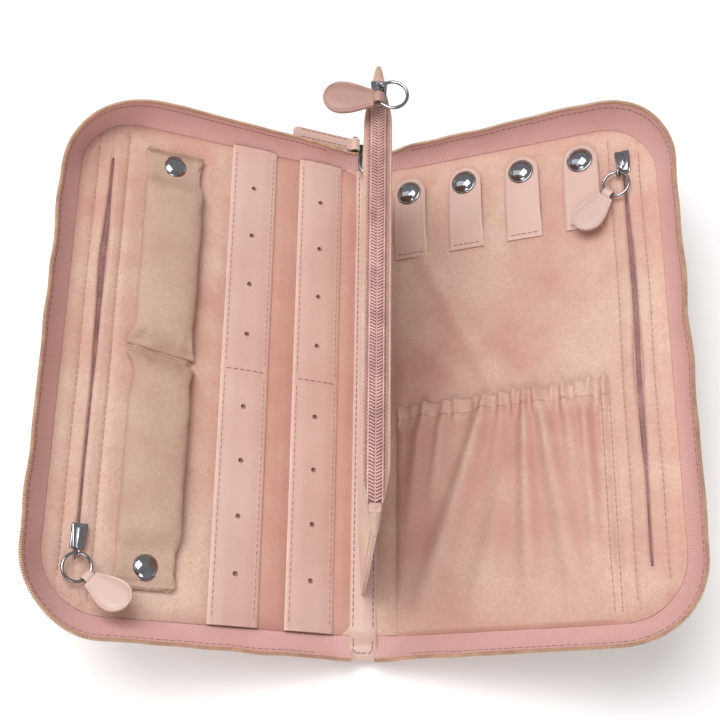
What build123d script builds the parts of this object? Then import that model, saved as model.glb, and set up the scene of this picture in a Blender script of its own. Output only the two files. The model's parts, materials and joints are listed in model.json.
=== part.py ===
"""Travel jewelry case: a zip-around book case, opened, with a zip pouch standing between its covers.

Frame: the origin is under the middle of the spine, on the surface the case lies on. +X runs across
the spine to the right cover, +Y along the spine to its far end, and +Z up. Millimetres.

Each cover is drawn flat in its own frame: u runs outward from its hinge, y along the spine, and
w up from the face of its lining. The left cover is drawn like the right one and mirrored.
"""

import os
from math import atan2, cos, degrees, radians, sin, sqrt, tan

from build123d import *

os.makedirs("parts", exist_ok=True)

# ---- driving dimensions -------------------------------------------------------------------------

CLEAR = 0.4  # between pieces of different bodies
SEAT = 0.3  # a moving piece above what it rests on

# spine
HINGE_X = 13.0  # the hinge line of each cover, from the middle
SPINE_L = 236.0  # length of the linings along the spine
PANEL_LEATHER = 1.6
SPINE_BOARD = 2.2
SPINE_LINING = 1.6
STRIP_T = 1.0  # leather strip over the pouch seam
SPINE_STRIP_W = 12.0
END_TAB_W = 12.5
END_TAB_L = 11.0
START_TAPE_L = 16.0

# covers
REST_LEFT = 22.9  # degrees above flat, as the open case lies
REST_RIGHT = 23.4
CLOSED = 87.0  # degrees above flat, with the case zipped shut
RIM = 1.6  # leather turned up around the lining
COVER_LEATHER = 1.4
COVER_BOARD = 1.2
COVER_FOAM = 1.4
BAG_T = 0.8
LINING_T = 1.2
CORNER_R = 28.0  # of the lining

# zipper wall around each cover
WALL_T = 1.2
TEETH_W = 2.6
TEETH_H = 2.2
FLARE_OUTER = 9.5  # how far the wall's edge leans out past its foot
FLARE_NEAR = 10.0
FLARE_FAR = 3.5

# left cover: two earring strips, the ring roll and the pocket zip, counted outward from the hinge
STRIP_INSET = 1.0
EARRING_W = 23.0
EARRING_T = 1.6
STRIP_GAP = 12.3
HOLE_D = 2.0
HOLES_A_SIDE = 4
FIRST_HOLE = 18.0
LAST_HOLE_INSET = 22.6
ROLL_GAP = 14.0
ROLL_W = 30.0
ROLL_H = 10.0
ROLL_END_GAP = 12.5
ROLL_CORNER = 13.0
ROLL_SEAM = 3.0
ROLL_SEAM_H = 3.3
ROLL_TAPER = 20.0  # from the seam to the full height
ROLL_END_TAPER = 9.0
ROLL_TONGUE = 17.0
TONGUE_T = 1.6
ZIP_GAP = 14.0
EDGE_GAP = 14.5

# snaps
CAP_D = 12.5
CAP_H = 3.2
SOCKET_D = 9.0
SOCKET_H = 1.2
SNAP_INSET = 9.0  # from the end of the flap

# pocket zips
ZIP_TAPE_W = 6.0
COIL_W = 3.0
COIL_H = 1.2
ZIP_END_GAP = 18.0
BAG_W = 62.0

# right cover: necklace tabs and the gathered pocket
TABS = 4
TAB_W = 17.5
TAB_L = 44.0
TAB_T = 1.6
TAB_TOP_GAP = 7.5
TAB_CREASE = 23.0  # the tab bends here, counted from its sewn end
TAB_INSET = 0.9
TAB_TO_ZIP = 20.3
POCKET_INSET = 2.0
POCKET_ZIP_GAP = 11.5
POCKET_TOP = -11.0
POCKET_BULGE = 8.0
POCKET_WALL = 1.2
POCKET_TAPER = 22.0
HEM_H = 6.0
HEM_T = 2.0

# divider pouch
DIVIDER_LEAN = 1.6  # degrees to the right
DIVIDER_TOP_GAP = 14.5  # short of the covers' lining edge
DIVIDER_END_GAP = 17.5
DIVIDER_T = 11.0
DIVIDER_FOOT_T = 3.0
DIVIDER_TIP_T = 2.4
DIVIDER_TAPER = 23.0
POUCH_WALL = 1.5
POUCH_TAPE = 1.0
POUCH_COIL_W = 5.0
POUCH_COIL_H = 1.6
POUCH_STOP_L = 4.0

# sliders, rings and leather pulls
SLIDER_W = 7.4
SLIDER_L = 11.0
SLIDER_H = 2.8
CROWN_W = 2.4
CROWN_L = 7.0
PULLER_W = 3.0
PULLER_T = 1.6
EYE_R = 2.2
EYE_BORE_R = 1.3
POUCH_EYE_RISE = 4.6  # the pouch's puller stands up
RING_R = 6.1  # to the middle of the wire
WIRE_R = 0.7
PULL_L = 22.5
PULL_END_R = 7.5
PULL_ROOT_W = 8.2
PULL_T = 2.0
LOOP_W = 4.6
LOOP_R = 2.5
LOOP_BORE_R = 1.5
MAIN_SLIDER_W = 8.0
MAIN_SLIDER_L = 10.0
MAIN_SLIDER_H = 4.6
MAIN_PULL_L = 34.0
MAIN_PULL_W = 11.0
MAIN_PIN_R = 1.2

# ---- worked out ---------------------------------------------------------------------------------

HALF_L = SPINE_L / 2
LINING_Z = PANEL_LEATHER + SPINE_BOARD + SPINE_LINING
HINGE_Z = LINING_Z + STRIP_T
COVER_T = COVER_LEATHER + COVER_BOARD + COVER_FOAM + BAG_T + LINING_T
STRIP_INNER_U = STRIP_INSET + EARRING_W / 2
STRIP_OUTER_U = STRIP_INNER_U + EARRING_W + STRIP_GAP
ROLL_U = STRIP_OUTER_U + EARRING_W / 2 + ROLL_GAP + ROLL_W / 2
ZIP_U = ROLL_U + ROLL_W / 2 + ZIP_GAP
COVER_U = ZIP_U + EDGE_GAP
ROLL_END = HALF_L - ROLL_END_GAP
ZIP_END = HALF_L - ZIP_END_GAP
TAB_TOP = HALF_L - TAB_TOP_GAP
TAB_FOOT = TAB_TOP - TAB_L
CREASE_Y = TAB_FOOT + TAB_CREASE
TAB_FIRST = TAB_INSET + TAB_W / 2
TAB_PITCH = (ZIP_U - TAB_TO_ZIP - TAB_FIRST) / (TABS - 1)
TAB_LIFT = SOCKET_H + SEAT
DIVIDER_Z = HINGE_Z + DIVIDER_FOOT_T / 2 + SEAT
DIVIDER_H = COVER_U - DIVIDER_TOP_GAP
DIVIDER_END = HALF_L - DIVIDER_END_GAP
WALL_SLOPE = 90.0 - CLOSED
WALL_TOP = HINGE_X / sin(radians(CLOSED)) - TEETH_H - SEAT


def cover_frame(side, lift):
    """Where a cover's own frame lies: side is -1 on the left, and lift its angle above flat."""
    return Pos(side * HINGE_X, 0, HINGE_Z) * Rot(0, -side * lift, 0)


LEFT = cover_frame(-1, REST_LEFT)
RIGHT = cover_frame(1, REST_RIGHT)
DIVIDER = Pos(0, 0, DIVIDER_Z) * Rot(0, DIVIDER_LEAN, 0)


def write(name, *solids):
    """Writes one node's solids to its STEP file."""
    shape = solids[0] if len(solids) == 1 else Compound(children=list(solids))
    export_step(shape, f"parts/{name}.step")


def mirrored(shape):
    """A piece drawn for the right cover, turned into its left twin."""
    return mirror(shape, about=Plane.YZ)


def slab(u0, u1, y0, y1, w0, w1):
    """A plain block between two corners."""
    return Pos((u0 + u1) / 2, (y0 + y1) / 2, (w0 + w1) / 2) * Box(u1 - u0, y1 - y0, w1 - w0)


# ---- spine --------------------------------------------------------------------------------------

def make_spine():
    """The flat back of the case: leather tray, board, lining and the strip over the pouch seam."""
    half = HINGE_X - CLEAR
    end = HALF_L + RIM
    tray_top = PANEL_LEATHER + SPINE_BOARD
    leather = slab(-half, half, -end, end, 0, tray_top)
    leather -= slab(-half, half, -HALF_L, HALF_L, PANEL_LEATHER, tray_top)
    write("spine_leather", leather)
    write("spine_board", slab(-half, half, -HALF_L, HALF_L, PANEL_LEATHER, tray_top))
    write("spine_lining", slab(-half, half, -HALF_L, HALF_L, tray_top, LINING_Z))
    strip = SPINE_STRIP_W / 2
    write("spine_strip", slab(-strip, strip, -HALF_L, HALF_L, LINING_Z, HINGE_Z))
    tab = END_TAB_W / 2
    end_tab = slab(-tab, tab, -HALF_L - END_TAB_L, -HALF_L, tray_top, LINING_Z)
    write("zip_end_tab", fillet(end_tab.edges().filter_by(Axis.Z).sort_by(Axis.Y)[:2], tab / 3))
    tape = slab(-half + CLEAR, half - CLEAR, HALF_L, HALF_L + START_TAPE_L, tray_top, LINING_Z)
    write("zip_start_tape", tape)


# ---- covers -------------------------------------------------------------------------------------

def outline(grow_outer, grow_near, grow_far, radius):
    """The lining's outline grown past its three free sides, square at the hinge."""
    u1 = COVER_U + grow_outer
    y0 = -HALF_L - grow_near
    y1 = HALF_L + grow_far
    sketch = Pos(u1 / 2, (y0 + y1) / 2) * Rectangle(u1, y1 - y0)
    return fillet(sketch.vertices().sort_by(Axis.X)[-2:], radius)


def layer(grow, w0, w1):
    """A layer of the cover between two heights, grown evenly past the lining's outline."""
    return Pos(0, 0, w0) * extrude(outline(grow, grow, grow, CORNER_R + grow), w1 - w0)


def band(lean, inner, outer):
    """A strip along the three free sides. Its edges lie inner and outer past the lining's outline,
    and lean is the share of the wall's flare there."""
    far, near, out = lean * FLARE_FAR, lean * FLARE_NEAR, lean * FLARE_OUTER
    outside = outline(out + outer, near + outer, far + outer, CORNER_R + out + outer)
    return outside - outline(out + inner, near + inner, far + inner, CORNER_R + out + inner)


def make_cover(name, frame, turn):
    """Everything that is the same on both covers. turn mirrors a piece for the left cover."""
    bag_w1 = -LINING_T
    bag_w0 = bag_w1 - BAG_T
    foam_w0 = bag_w0 - COVER_FOAM
    board_w0 = foam_w0 - COVER_BOARD
    tray = layer(RIM, -COVER_T, 0) - layer(0, board_w0, 0)
    write(f"{name}_cover_leather", frame * turn(tray))
    write(f"{name}_cover_board", frame * turn(layer(0, board_w0, foam_w0)))
    bag = slab(ZIP_U - BAG_W, ZIP_U + ZIP_TAPE_W, -ZIP_END, ZIP_END, bag_w0, bag_w1)
    write(f"{name}_pocket_bag", frame * turn(bag))
    write(f"{name}_cover_foam", frame * turn(layer(0, foam_w0, bag_w1) - bag))

    half = ZIP_TAPE_W / 2
    tape = slab(ZIP_U - half, ZIP_U + half, -ZIP_END, ZIP_END, bag_w1, 0)
    coil = slab(ZIP_U - COIL_W / 2, ZIP_U + COIL_W / 2, -ZIP_END, ZIP_END, 0, COIL_H)
    write(f"{name}_cover_lining", frame * turn(layer(0, bag_w1, 0) - tape))
    write(f"{name}_pocket_zip", frame * turn(tape + coil))

    foot = band(0, RIM - WALL_T, RIM)
    slope = Rot(0, -WALL_SLOPE, 0)
    edge = Pos(0, 0, WALL_TOP) * slope * band(1, RIM - WALL_T, RIM)
    write(f"{name}_zip_tape", frame * turn(loft([foot, edge], ruled=True)))
    side = (TEETH_W - WALL_T) / 2
    teeth = extrude(band(1, RIM - WALL_T - side, RIM + side), TEETH_H)
    write(f"{name}_zip_teeth", frame * turn(Pos(0, 0, WALL_TOP) * slope * teeth))


def snap_cap():
    """A domed cap, from the face it is set on."""
    rim = CAP_H / 4
    sphere_r = ((CAP_D / 2) ** 2 + (CAP_H - rim) ** 2) / (2 * (CAP_H - rim))
    dome = Pos(0, 0, CAP_H - sphere_r) * Sphere(sphere_r)
    column = Pos(0, 0, CAP_H / 2) * Cylinder(CAP_D / 2, CAP_H)
    return column & dome


def snap_socket():
    """The half of a snap that is riveted to the lining."""
    return Pos(0, 0, SOCKET_H / 2) * Cylinder(SOCKET_D / 2, SOCKET_H)


# ---- left cover ---------------------------------------------------------------------------------

def earring_strip(u):
    """A leather strip along the lining, with a row of post holes each side of its middle seam."""
    strip = slab(u - EARRING_W / 2, u + EARRING_W / 2, -HALF_L, HALF_L, 0, EARRING_T)
    pitch = (HALF_L - LAST_HOLE_INSET - FIRST_HOLE) / (HOLES_A_SIDE - 1)
    for i in range(HOLES_A_SIDE):
        for way in (-1, 1):
            strip -= Pos(u, way * (FIRST_HOLE + i * pitch), 0) * Cylinder(HOLE_D / 2, 4 * EARRING_T)
    return strip


def roll_section(y, width, w0, w1, corner):
    """A cross-section of the ring roll at y, with its upper corners rounded."""
    sketch = Pos(0, (w0 + w1) / 2) * Rectangle(width, w1 - w0)
    sketch = fillet(sketch.vertices().sort_by(Axis.Y)[-2:], corner)
    return Pos(ROLL_U, y, 0) * Rot(90, 0, 0) * sketch


def ring_roll_half():
    """One padded half of the ring roll, from its middle seam to the tongue its snap is in."""
    seam, end = ROLL_SEAM / 2 + CLEAR, ROLL_END
    tongue_w0 = TAB_LIFT
    tongue_w1 = tongue_w0 + TONGUE_T
    pad = loft(
        [
            roll_section(seam, ROLL_W - ROLL_SEAM, SEAT, ROLL_SEAM_H, 1.0),
            roll_section(seam + ROLL_TAPER, ROLL_W, SEAT, ROLL_H, ROLL_H / 2),
            roll_section(end - ROLL_TONGUE - ROLL_END_TAPER, ROLL_W, SEAT, ROLL_H, ROLL_H / 2),
            roll_section(end - ROLL_TONGUE, ROLL_W, SEAT, tongue_w1, 1.0),
        ],
        ruled=True,
    )
    tongue = slab(
        ROLL_U - ROLL_W / 2, ROLL_U + ROLL_W / 2, end - ROLL_TONGUE, end, tongue_w0, tongue_w1
    )
    outer_corner = tongue.edges().filter_by(Axis.Z).sort_by(Axis.Y)[-2:].sort_by(Axis.X)[-1]
    return pad + fillet(outer_corner, ROLL_CORNER)


def make_left_cover():
    """The earring strips, the ring roll and what carries it."""
    write("earring_strip_inner", LEFT * mirrored(earring_strip(STRIP_INNER_U)))
    write("earring_strip_outer", LEFT * mirrored(earring_strip(STRIP_OUTER_U)))
    width = (ROLL_W - ROLL_SEAM) / 2
    seam = slab(ROLL_U - width, ROLL_U + width, -ROLL_SEAM / 2, ROLL_SEAM / 2, 0, ROLL_SEAM_H)
    write("ring_roll_seam", LEFT * mirrored(seam))
    snap_y = ROLL_END - SNAP_INSET
    sockets = [Pos(ROLL_U, way * snap_y, 0) * snap_socket() for way in (1, -1)]
    write("ring_roll_sockets", *[LEFT * mirrored(s) for s in sockets])
    half = ring_roll_half()
    cap = Pos(ROLL_U, snap_y, TAB_LIFT + TONGUE_T) * snap_cap()
    write("ring_roll_far_pad", LEFT * mirrored(half))
    write("ring_roll_far_cap", LEFT * mirrored(cap))
    write("ring_roll_near_pad", LEFT * mirrored(mirror(half, about=Plane.XZ)))
    write("ring_roll_near_cap", LEFT * mirrored(mirror(cap, about=Plane.XZ)))


# ---- right cover --------------------------------------------------------------------------------

def pocket_arch(y, w, wall):
    """The pocket's front at y: an arch of height w over the lining, wall thick."""
    u0, u1 = POCKET_INSET, ZIP_U - POCKET_ZIP_GAP
    mid = (u0 + u1) / 2
    front = ThreePointArc((u0, 0), (mid, w), (u1, 0))
    back = ThreePointArc((u1 - wall, 0), (mid, w - wall), (u0 + wall, 0))
    feet = [Line((u1, 0), (u1 - wall, 0)), Line((u0 + wall, 0), (u0, 0))]
    return Pos(0, y, 0) * Rot(90, 0, 0) * make_face([front, feet[0], back, feet[1]])


def make_gathered_pocket():
    """The open pocket over the near half of the right lining, and its elastic hem."""
    low = POCKET_WALL + SEAT
    belly_y = -HALF_L + POCKET_TAPER
    front = loft(
        [
            pocket_arch(POCKET_TOP - HEM_H, POCKET_BULGE, POCKET_WALL),
            pocket_arch(belly_y, POCKET_BULGE, POCKET_WALL),
            pocket_arch(-HALF_L, low, POCKET_WALL),
        ],
        ruled=True,
    )
    write("gathered_pocket", RIGHT * front)
    hem = extrude(pocket_arch(POCKET_TOP, POCKET_BULGE, HEM_T), HEM_H)
    write("pocket_elastic", RIGHT * hem)


def tab_u(n):
    """The middle of necklace tab n, counted from the spine."""
    return TAB_FIRST + (n - 1) * TAB_PITCH


def tab_pieces(n):
    """A necklace tab's sewn foot, its free flap and the cap in the flap."""
    u = tab_u(n)
    half = TAB_W / 2
    gap = SEAT / 2
    foot = slab(u - half, u + half, TAB_FOOT, CREASE_Y - gap, 0, TAB_LIFT + TAB_T)
    plate = slab(
        u - half, u + half, CREASE_Y + gap, TAB_TOP, TAB_LIFT, TAB_LIFT + TAB_T
    )
    round_end = plate.edges().filter_by(Axis.Z).sort_by(Axis.Y)[-2:]
    flap = fillet(round_end, half - gap)
    cap = Pos(u, TAB_TOP - SNAP_INSET, TAB_LIFT + TAB_T) * snap_cap()
    return foot, flap, cap


def make_right_cover():
    """The gathered pocket and the necklace tabs with their snaps."""
    make_gathered_pocket()
    sockets, feet = [], []
    for n in range(1, TABS + 1):
        foot, flap, cap = tab_pieces(n)
        feet.append(RIGHT * foot)
        sockets.append(RIGHT * Pos(tab_u(n), TAB_TOP - SNAP_INSET, 0) * snap_socket())
        write(f"necklace_tab_{n}_flap", RIGHT * flap)
        write(f"necklace_tab_{n}_cap", RIGHT * cap)
    write("necklace_tab_feet", *feet)
    write("necklace_tab_sockets", *sockets)


# ---- divider pouch ------------------------------------------------------------------------------

def pouch_section(z, outer, inner):
    """One panel's section at height z: outer and inner are its faces' distances from the middle."""
    straight = DIVIDER_END - DIVIDER_TAPER
    tip = DIVIDER_TIP_T / 2
    points = [
        (tip, -DIVIDER_END),
        (outer, -straight),
        (outer, straight),
        (tip, DIVIDER_END),
        (0, DIVIDER_END),
        (inner, straight),
        (inner, -straight),
        (0, -DIVIDER_END),
    ]
    return Pos(0, 0, z) * make_face(Polyline(*points, close=True))


def make_divider():
    """The pouch that stands on the spine: two panels, a bound foot and a zip along its top."""
    top = DIVIDER_H
    half = DIVIDER_T / 2
    panel = loft(
        [pouch_section(0, DIVIDER_FOOT_T / 2, 0), pouch_section(top, half, half - POUCH_WALL)],
        ruled=True,
    )
    write("divider_right_panel", DIVIDER * panel)
    write("divider_left_panel", DIVIDER * mirrored(panel))
    foot = Rot(90, 0, 0) * Cylinder(DIVIDER_FOOT_T / 2, 2 * DIVIDER_END)
    foot &= Pos(0, 0, -DIVIDER_FOOT_T / 2) * Box(2 * DIVIDER_FOOT_T, 3 * DIVIDER_END, DIVIDER_FOOT_T)
    write("divider_foot", DIVIDER * foot)
    right = extrude(pouch_section(top, half, 0), POUCH_TAPE)
    write("divider_zip_tape", DIVIDER * (right + mirrored(right)))
    coil_end = DIVIDER_END - DIVIDER_TAPER / 2
    coil_z = top + POUCH_TAPE
    coil_half = POUCH_COIL_W / 2
    coil = slab(-coil_half, coil_half, -coil_end, coil_end, coil_z, coil_z + POUCH_COIL_H)
    write("divider_zip_coil", DIVIDER * coil)
    stops = [
        slab(-coil_half, coil_half, y, y + POUCH_STOP_L, coil_z, coil_z + POUCH_COIL_H)
        for y in (-coil_end - POUCH_STOP_L, coil_end)
    ]
    write("divider_zip_stops", *[DIVIDER * s for s in stops])


# ---- sliders, rings and pulls -------------------------------------------------------------------

def slider_set(name, at, reach, rise, chain_turn, pull_turn, pull_lift):
    """A slider with its puller, the ring in the puller's eye and the leather pull on the ring.

    at is the slider's place: local z points away from the zip. The eye lies reach from the
    slider's middle and rise above its top. chain_turn is which way it lies (degrees from -y, about
    z), pull_turn the pull's direction about the ring in the same way, and pull_lift its tilt up.
    Returns the frames of the ring's and the pull's hinges, each with its axis along local x.
    """
    eye_w = SLIDER_H + rise
    chain = at * Rot(0, 0, chain_turn)
    body = Pos(0, 0, SLIDER_H / 2) * Box(SLIDER_W, SLIDER_L, SLIDER_H)
    body = fillet(body.edges().filter_by(Axis.Z), SLIDER_W / 4)
    body += Pos(0, 0, SLIDER_H) * Box(CROWN_W, CROWN_L, 2 * PULLER_T)
    eye = Pos(0, -reach, eye_w) * Rot(0, 90, 0) * Cylinder(EYE_R, PULLER_W)
    bar = slab(-PULLER_W / 2, PULLER_W / 2, -reach, 0, SLIDER_H, SLIDER_H + PULLER_T)
    bore = Pos(0, -reach, eye_w) * Rot(0, 90, 0) * Cylinder(EYE_BORE_R, 2 * PULLER_W)
    half_t = PULLER_T / 2
    bar += slab(-PULLER_W / 2, PULLER_W / 2, -reach - half_t, -reach + half_t, SLIDER_H, eye_w)
    turned = Rot(0, 0, chain_turn)
    write(f"{name}_slider", at * (body + turned * (bar + eye) - turned * bore))

    ring_hinge = chain * Pos(0, -reach, eye_w)
    ring_middle = ring_hinge * Pos(0, -RING_R, 0)
    write(f"{name}_ring", ring_middle * Torus(RING_R, WIRE_R))

    pull_hinge = ring_middle * Rot(0, 0, pull_turn - chain_turn) * Pos(0, -RING_R, 0)
    loop = Rot(0, 90, 0) * Cylinder(LOOP_R, LOOP_W)
    end_y = -PULL_L + PULL_END_R
    root, wide = PULL_ROOT_W / 2, PULL_END_R
    root_y = -(LOOP_R + LOOP_BORE_R) / 2
    blade = make_face(Polyline((-root, root_y), (root, root_y), (wide, end_y), (-wide, end_y), close=True))
    blade += Pos(0, end_y) * Circle(PULL_END_R)
    leather = Pos(0, 0, -PULL_T / 2) * extrude(blade, PULL_T) + loop
    leather -= Rot(0, 90, 0) * Cylinder(LOOP_BORE_R, 2 * PULL_ROOT_W)
    write(f"{name}_pull", pull_hinge * Rot(-pull_lift, 0, 0) * leather)
    return ring_hinge, pull_hinge


POCKET_SLIDER_W = COIL_H + SEAT  # a pocket slider's underside above the lining
LEFT_SLIDER_Y = -ZIP_END + 14.0
RIGHT_SLIDER_Y = ZIP_END - 3.5
POUCH_SLIDER_Y = DIVIDER_END - 16.5
POUCH_SLIDER_Z = DIVIDER_H + POUCH_TAPE + POUCH_COIL_H + SEAT


def make_sliders():
    """The three pocket sliders. Returns their hinge frames by name."""
    left = LEFT * Pos(-ZIP_U, LEFT_SLIDER_Y, POCKET_SLIDER_W)
    right = RIGHT * Pos(ZIP_U, RIGHT_SLIDER_Y, POCKET_SLIDER_W)
    pouch = DIVIDER * Pos(0, POUCH_SLIDER_Y, POUCH_SLIDER_Z)
    return {
        "left": slider_set("left_pocket", left, 7.5, PULLER_T / 2, 0, 52, 30),
        "right": slider_set("right_pocket", right, 6.5, PULLER_T / 2, -16, -40, 10),
        "pouch": slider_set("divider", pouch, 0.8, POUCH_EYE_RISE, 50, -72, 0),
    }


def make_main_slider():
    """The main zip's slider, parked past the far end of the spine, and its leather pull."""
    x = -HINGE_X / 3
    y = HALF_L + START_TAPE_L - MAIN_SLIDER_L / 2
    top = LINING_Z + MAIN_SLIDER_H
    body = Pos(x, y, LINING_Z + MAIN_SLIDER_H / 2) * Box(MAIN_SLIDER_W, MAIN_SLIDER_L, MAIN_SLIDER_H)
    body = fillet(body.edges().filter_by(Axis.Z), MAIN_SLIDER_W / 4)
    hinge = Pos(x - MAIN_SLIDER_W / 2 + MAIN_PIN_R, y, top + LOOP_R) * Rot(0, REST_LEFT, 0)
    pin = hinge * Rot(90, 0, 0) * Cylinder(MAIN_PIN_R, MAIN_SLIDER_L)
    post_y = MAIN_SLIDER_L / 2 - MAIN_PIN_R / 2
    for way in (-1, 1):
        post = Pos(hinge.position.X, y + way * post_y, top + LOOP_R / 2)
        body += post * Box(2 * MAIN_PIN_R, MAIN_PIN_R, LOOP_R)
    write("main_slider", body + pin)
    inner = 2 * (post_y - MAIN_PIN_R / 2 - SEAT)
    loop = Rot(90, 0, 0) * Cylinder(LOOP_R, inner)
    strap = slab(-MAIN_PULL_L, -LOOP_R / 2, -inner / 2, inner / 2, -PULL_T / 2, PULL_T / 2)
    strap = fillet(strap.edges().filter_by(Axis.Z).sort_by(Axis.X)[:2], inner / 3)
    strap += loop
    strap -= Rot(90, 0, 0) * Cylinder(MAIN_PIN_R + SEAT, 2 * MAIN_PULL_W)
    write("main_pull", hinge * strap)
    return hinge


make_spine()
make_cover("left", LEFT, mirrored)
make_cover("right", RIGHT, lambda shape: shape)
make_left_cover()
make_right_cover()
make_divider()
SLIDER_HINGES = make_sliders()
MAIN_HINGE = make_main_slider()
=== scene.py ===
"""Travel jewelry case: a zip-around book case lying open, with a zip pouch standing on its spine.

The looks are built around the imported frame. Each cover is drawn flat in its own frame, in
millimetres: u runs outward from the hinge, y along the spine and w up from the lining's face.
The soft parts near the hinge bend between the spine and the cover.
"""

import json
import logging
import math
from dataclasses import dataclass
from enum import Enum
from typing import Callable, Iterable, Optional, Sequence, Union

import bpy
import numpy as np
from mathutils import Matrix, Vector, noise


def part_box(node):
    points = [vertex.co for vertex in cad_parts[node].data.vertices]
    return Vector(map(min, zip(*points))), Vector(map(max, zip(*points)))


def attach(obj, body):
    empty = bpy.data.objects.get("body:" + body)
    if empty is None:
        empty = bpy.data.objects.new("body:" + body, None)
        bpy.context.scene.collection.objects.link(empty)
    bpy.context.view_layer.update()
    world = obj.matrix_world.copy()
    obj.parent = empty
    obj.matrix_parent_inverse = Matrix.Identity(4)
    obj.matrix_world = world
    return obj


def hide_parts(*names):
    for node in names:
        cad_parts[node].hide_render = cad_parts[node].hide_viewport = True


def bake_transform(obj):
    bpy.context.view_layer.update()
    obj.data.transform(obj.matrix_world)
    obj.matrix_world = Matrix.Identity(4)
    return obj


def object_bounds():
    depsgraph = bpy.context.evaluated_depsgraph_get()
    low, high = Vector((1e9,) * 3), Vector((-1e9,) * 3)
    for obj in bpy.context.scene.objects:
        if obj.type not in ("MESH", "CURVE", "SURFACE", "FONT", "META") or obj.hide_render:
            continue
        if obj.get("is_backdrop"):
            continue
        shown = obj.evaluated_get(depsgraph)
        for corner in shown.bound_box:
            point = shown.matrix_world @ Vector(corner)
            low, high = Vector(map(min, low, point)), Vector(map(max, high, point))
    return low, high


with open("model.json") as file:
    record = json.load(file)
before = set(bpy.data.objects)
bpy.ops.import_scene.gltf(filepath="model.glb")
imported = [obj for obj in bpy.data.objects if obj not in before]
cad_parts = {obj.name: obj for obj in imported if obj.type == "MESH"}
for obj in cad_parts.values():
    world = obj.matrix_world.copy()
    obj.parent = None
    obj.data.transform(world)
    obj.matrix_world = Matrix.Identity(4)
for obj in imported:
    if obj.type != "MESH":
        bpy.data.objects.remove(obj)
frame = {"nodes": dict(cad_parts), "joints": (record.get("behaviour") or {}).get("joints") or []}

LOG = logging.getLogger("jewelry_case")
MM = 0.001
CAD_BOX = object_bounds()
ACROSS, ALONG, UP = Vector((1, 0, 0)), Vector((0, 1, 0)), Vector((0, 0, 1))
# Painted shade: this attribute darkens the suede where shade falls, near the divider, in creases and in the
# pocket's hollows.
PAINTED_SHADE_MARK = "deep"  # the attribute that deepens the suede's colour
COIL_PITCH = 1.05  # of the zips' links

Point = tuple[float, float, float]
Colour = tuple[float, float, float, float]
Press = tuple[float, float, float, float, float]
Crease = tuple[float, float, float, float, float, float]
Ups = Union[Vector, Sequence[Vector]]


class Slot(Enum):
    """The record's material slots."""

    LEATHER = "leather"
    SUEDE = "suede"
    TAPE = "zip_tape"
    COIL = "zip_coil"
    POCKET_ZIP = "pocket_zip"
    METAL = "polished_metal"
    BOARD = "board"
    FOAM = "foam"
    BAG = "bag_cloth"


class Side(Enum):
    """Which cover, as the sign of its x."""

    LEFT = -1
    RIGHT = 1


# ---- small tools --------------------------------------------------------------------------------


def linear(red: int, green: int, blue: int) -> Colour:
    """A colour, as the linear values that a shader takes.

    Args:
        red: Red, 0 to 255.
        green: Green, 0 to 255.
        blue: Blue, 0 to 255.

    Returns:
        The linear colour with full alpha.
    """
    channels = [v / 255 for v in (red, green, blue)]
    values = [c / 12.92 if c <= 0.04045 else ((c + 0.055) / 1.055) ** 2.4 for c in channels]
    return (values[0], values[1], values[2], 1.0)


def smooth(value: float, low: float, high: float) -> float:
    """A soft step from 0 at low to 1 at high."""
    t = min(1.0, max(0.0, (value - low) / (high - low)))
    return t * t * (3 - 2 * t)


def bump(value: float, middle: float, width: float) -> float:
    """A bell of height 1 at middle, width wide to its shoulder."""
    return math.exp(-(((value - middle) / width) ** 2))


def ripple(x: float, y: float, seed: float, size: float) -> float:
    """Even, repeatable unevenness from -1 to 1, with features about size wide."""
    return noise.noise(Vector((x / size, y / size, seed)))


def deselect() -> None:
    """Leaves nothing selected, so that the next operator acts on its own piece alone."""
    for obj in bpy.context.selected_objects:
        obj.select_set(False)


def only(obj: bpy.types.Object) -> None:
    """Selects one object and makes it the active one."""
    deselect()
    obj.select_set(True)
    bpy.context.view_layer.objects.active = obj


def modify(obj: bpy.types.Object, kind: str, **settings: object) -> bpy.types.Object:
    """Adds a modifier and applies it.

    Args:
        obj: The piece.
        kind: The modifier's type.
        settings: Its settings.

    Returns:
        The piece.
    """
    only(obj)
    modifier = obj.modifiers.new(kind.lower(), kind)
    for key, value in settings.items():
        setattr(modifier, key, value)
    bpy.ops.object.modifier_apply(modifier=modifier.name)
    return obj


def soften(obj: bpy.types.Object, angle: float = 40.0) -> bpy.types.Object:
    """Smooth shading up to an angle in degrees."""
    only(obj)
    bpy.ops.object.shade_smooth_by_angle(angle=math.radians(angle))
    return obj


def thicken(obj: bpy.types.Object, by: float, angle: float = 60.0, offset: float = -1) -> bpy.types.Object:
    """Gives a sheet its thickness, behind its face or to both sides, and smooth shading."""
    return soften(modify(obj, "SOLIDIFY", thickness=by, offset=offset), angle)


def mesh_piece(
    name: str, points: Iterable[Sequence[float]], faces: Iterable[Sequence[int]]
) -> bpy.types.Object:
    """A new object from points and faces.

    Args:
        name: The piece's name.
        points: Its corners.
        faces: Corner numbers of each face.

    Returns:
        The object, linked to the scene.
    """
    mesh = bpy.data.meshes.new(name)
    mesh.from_pydata([tuple(p) for p in points], [], [tuple(f) for f in faces])
    mesh.update()
    obj = bpy.data.objects.new(name, mesh)
    bpy.context.scene.collection.objects.link(obj)
    return obj


def flip(obj: bpy.types.Object) -> bpy.types.Object:
    """Turns every face round."""
    obj.data.flip_normals()
    return obj


def outward(obj: bpy.types.Object) -> bpy.types.Object:
    """Merges doubles and points every face outward."""
    only(obj)
    bpy.ops.object.mode_set(mode="EDIT")
    bpy.ops.mesh.select_all(action="SELECT")
    bpy.ops.mesh.remove_doubles(threshold=1e-6)
    bpy.ops.mesh.normals_make_consistent(inside=False)
    bpy.ops.object.mode_set(mode="OBJECT")
    return obj


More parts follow.
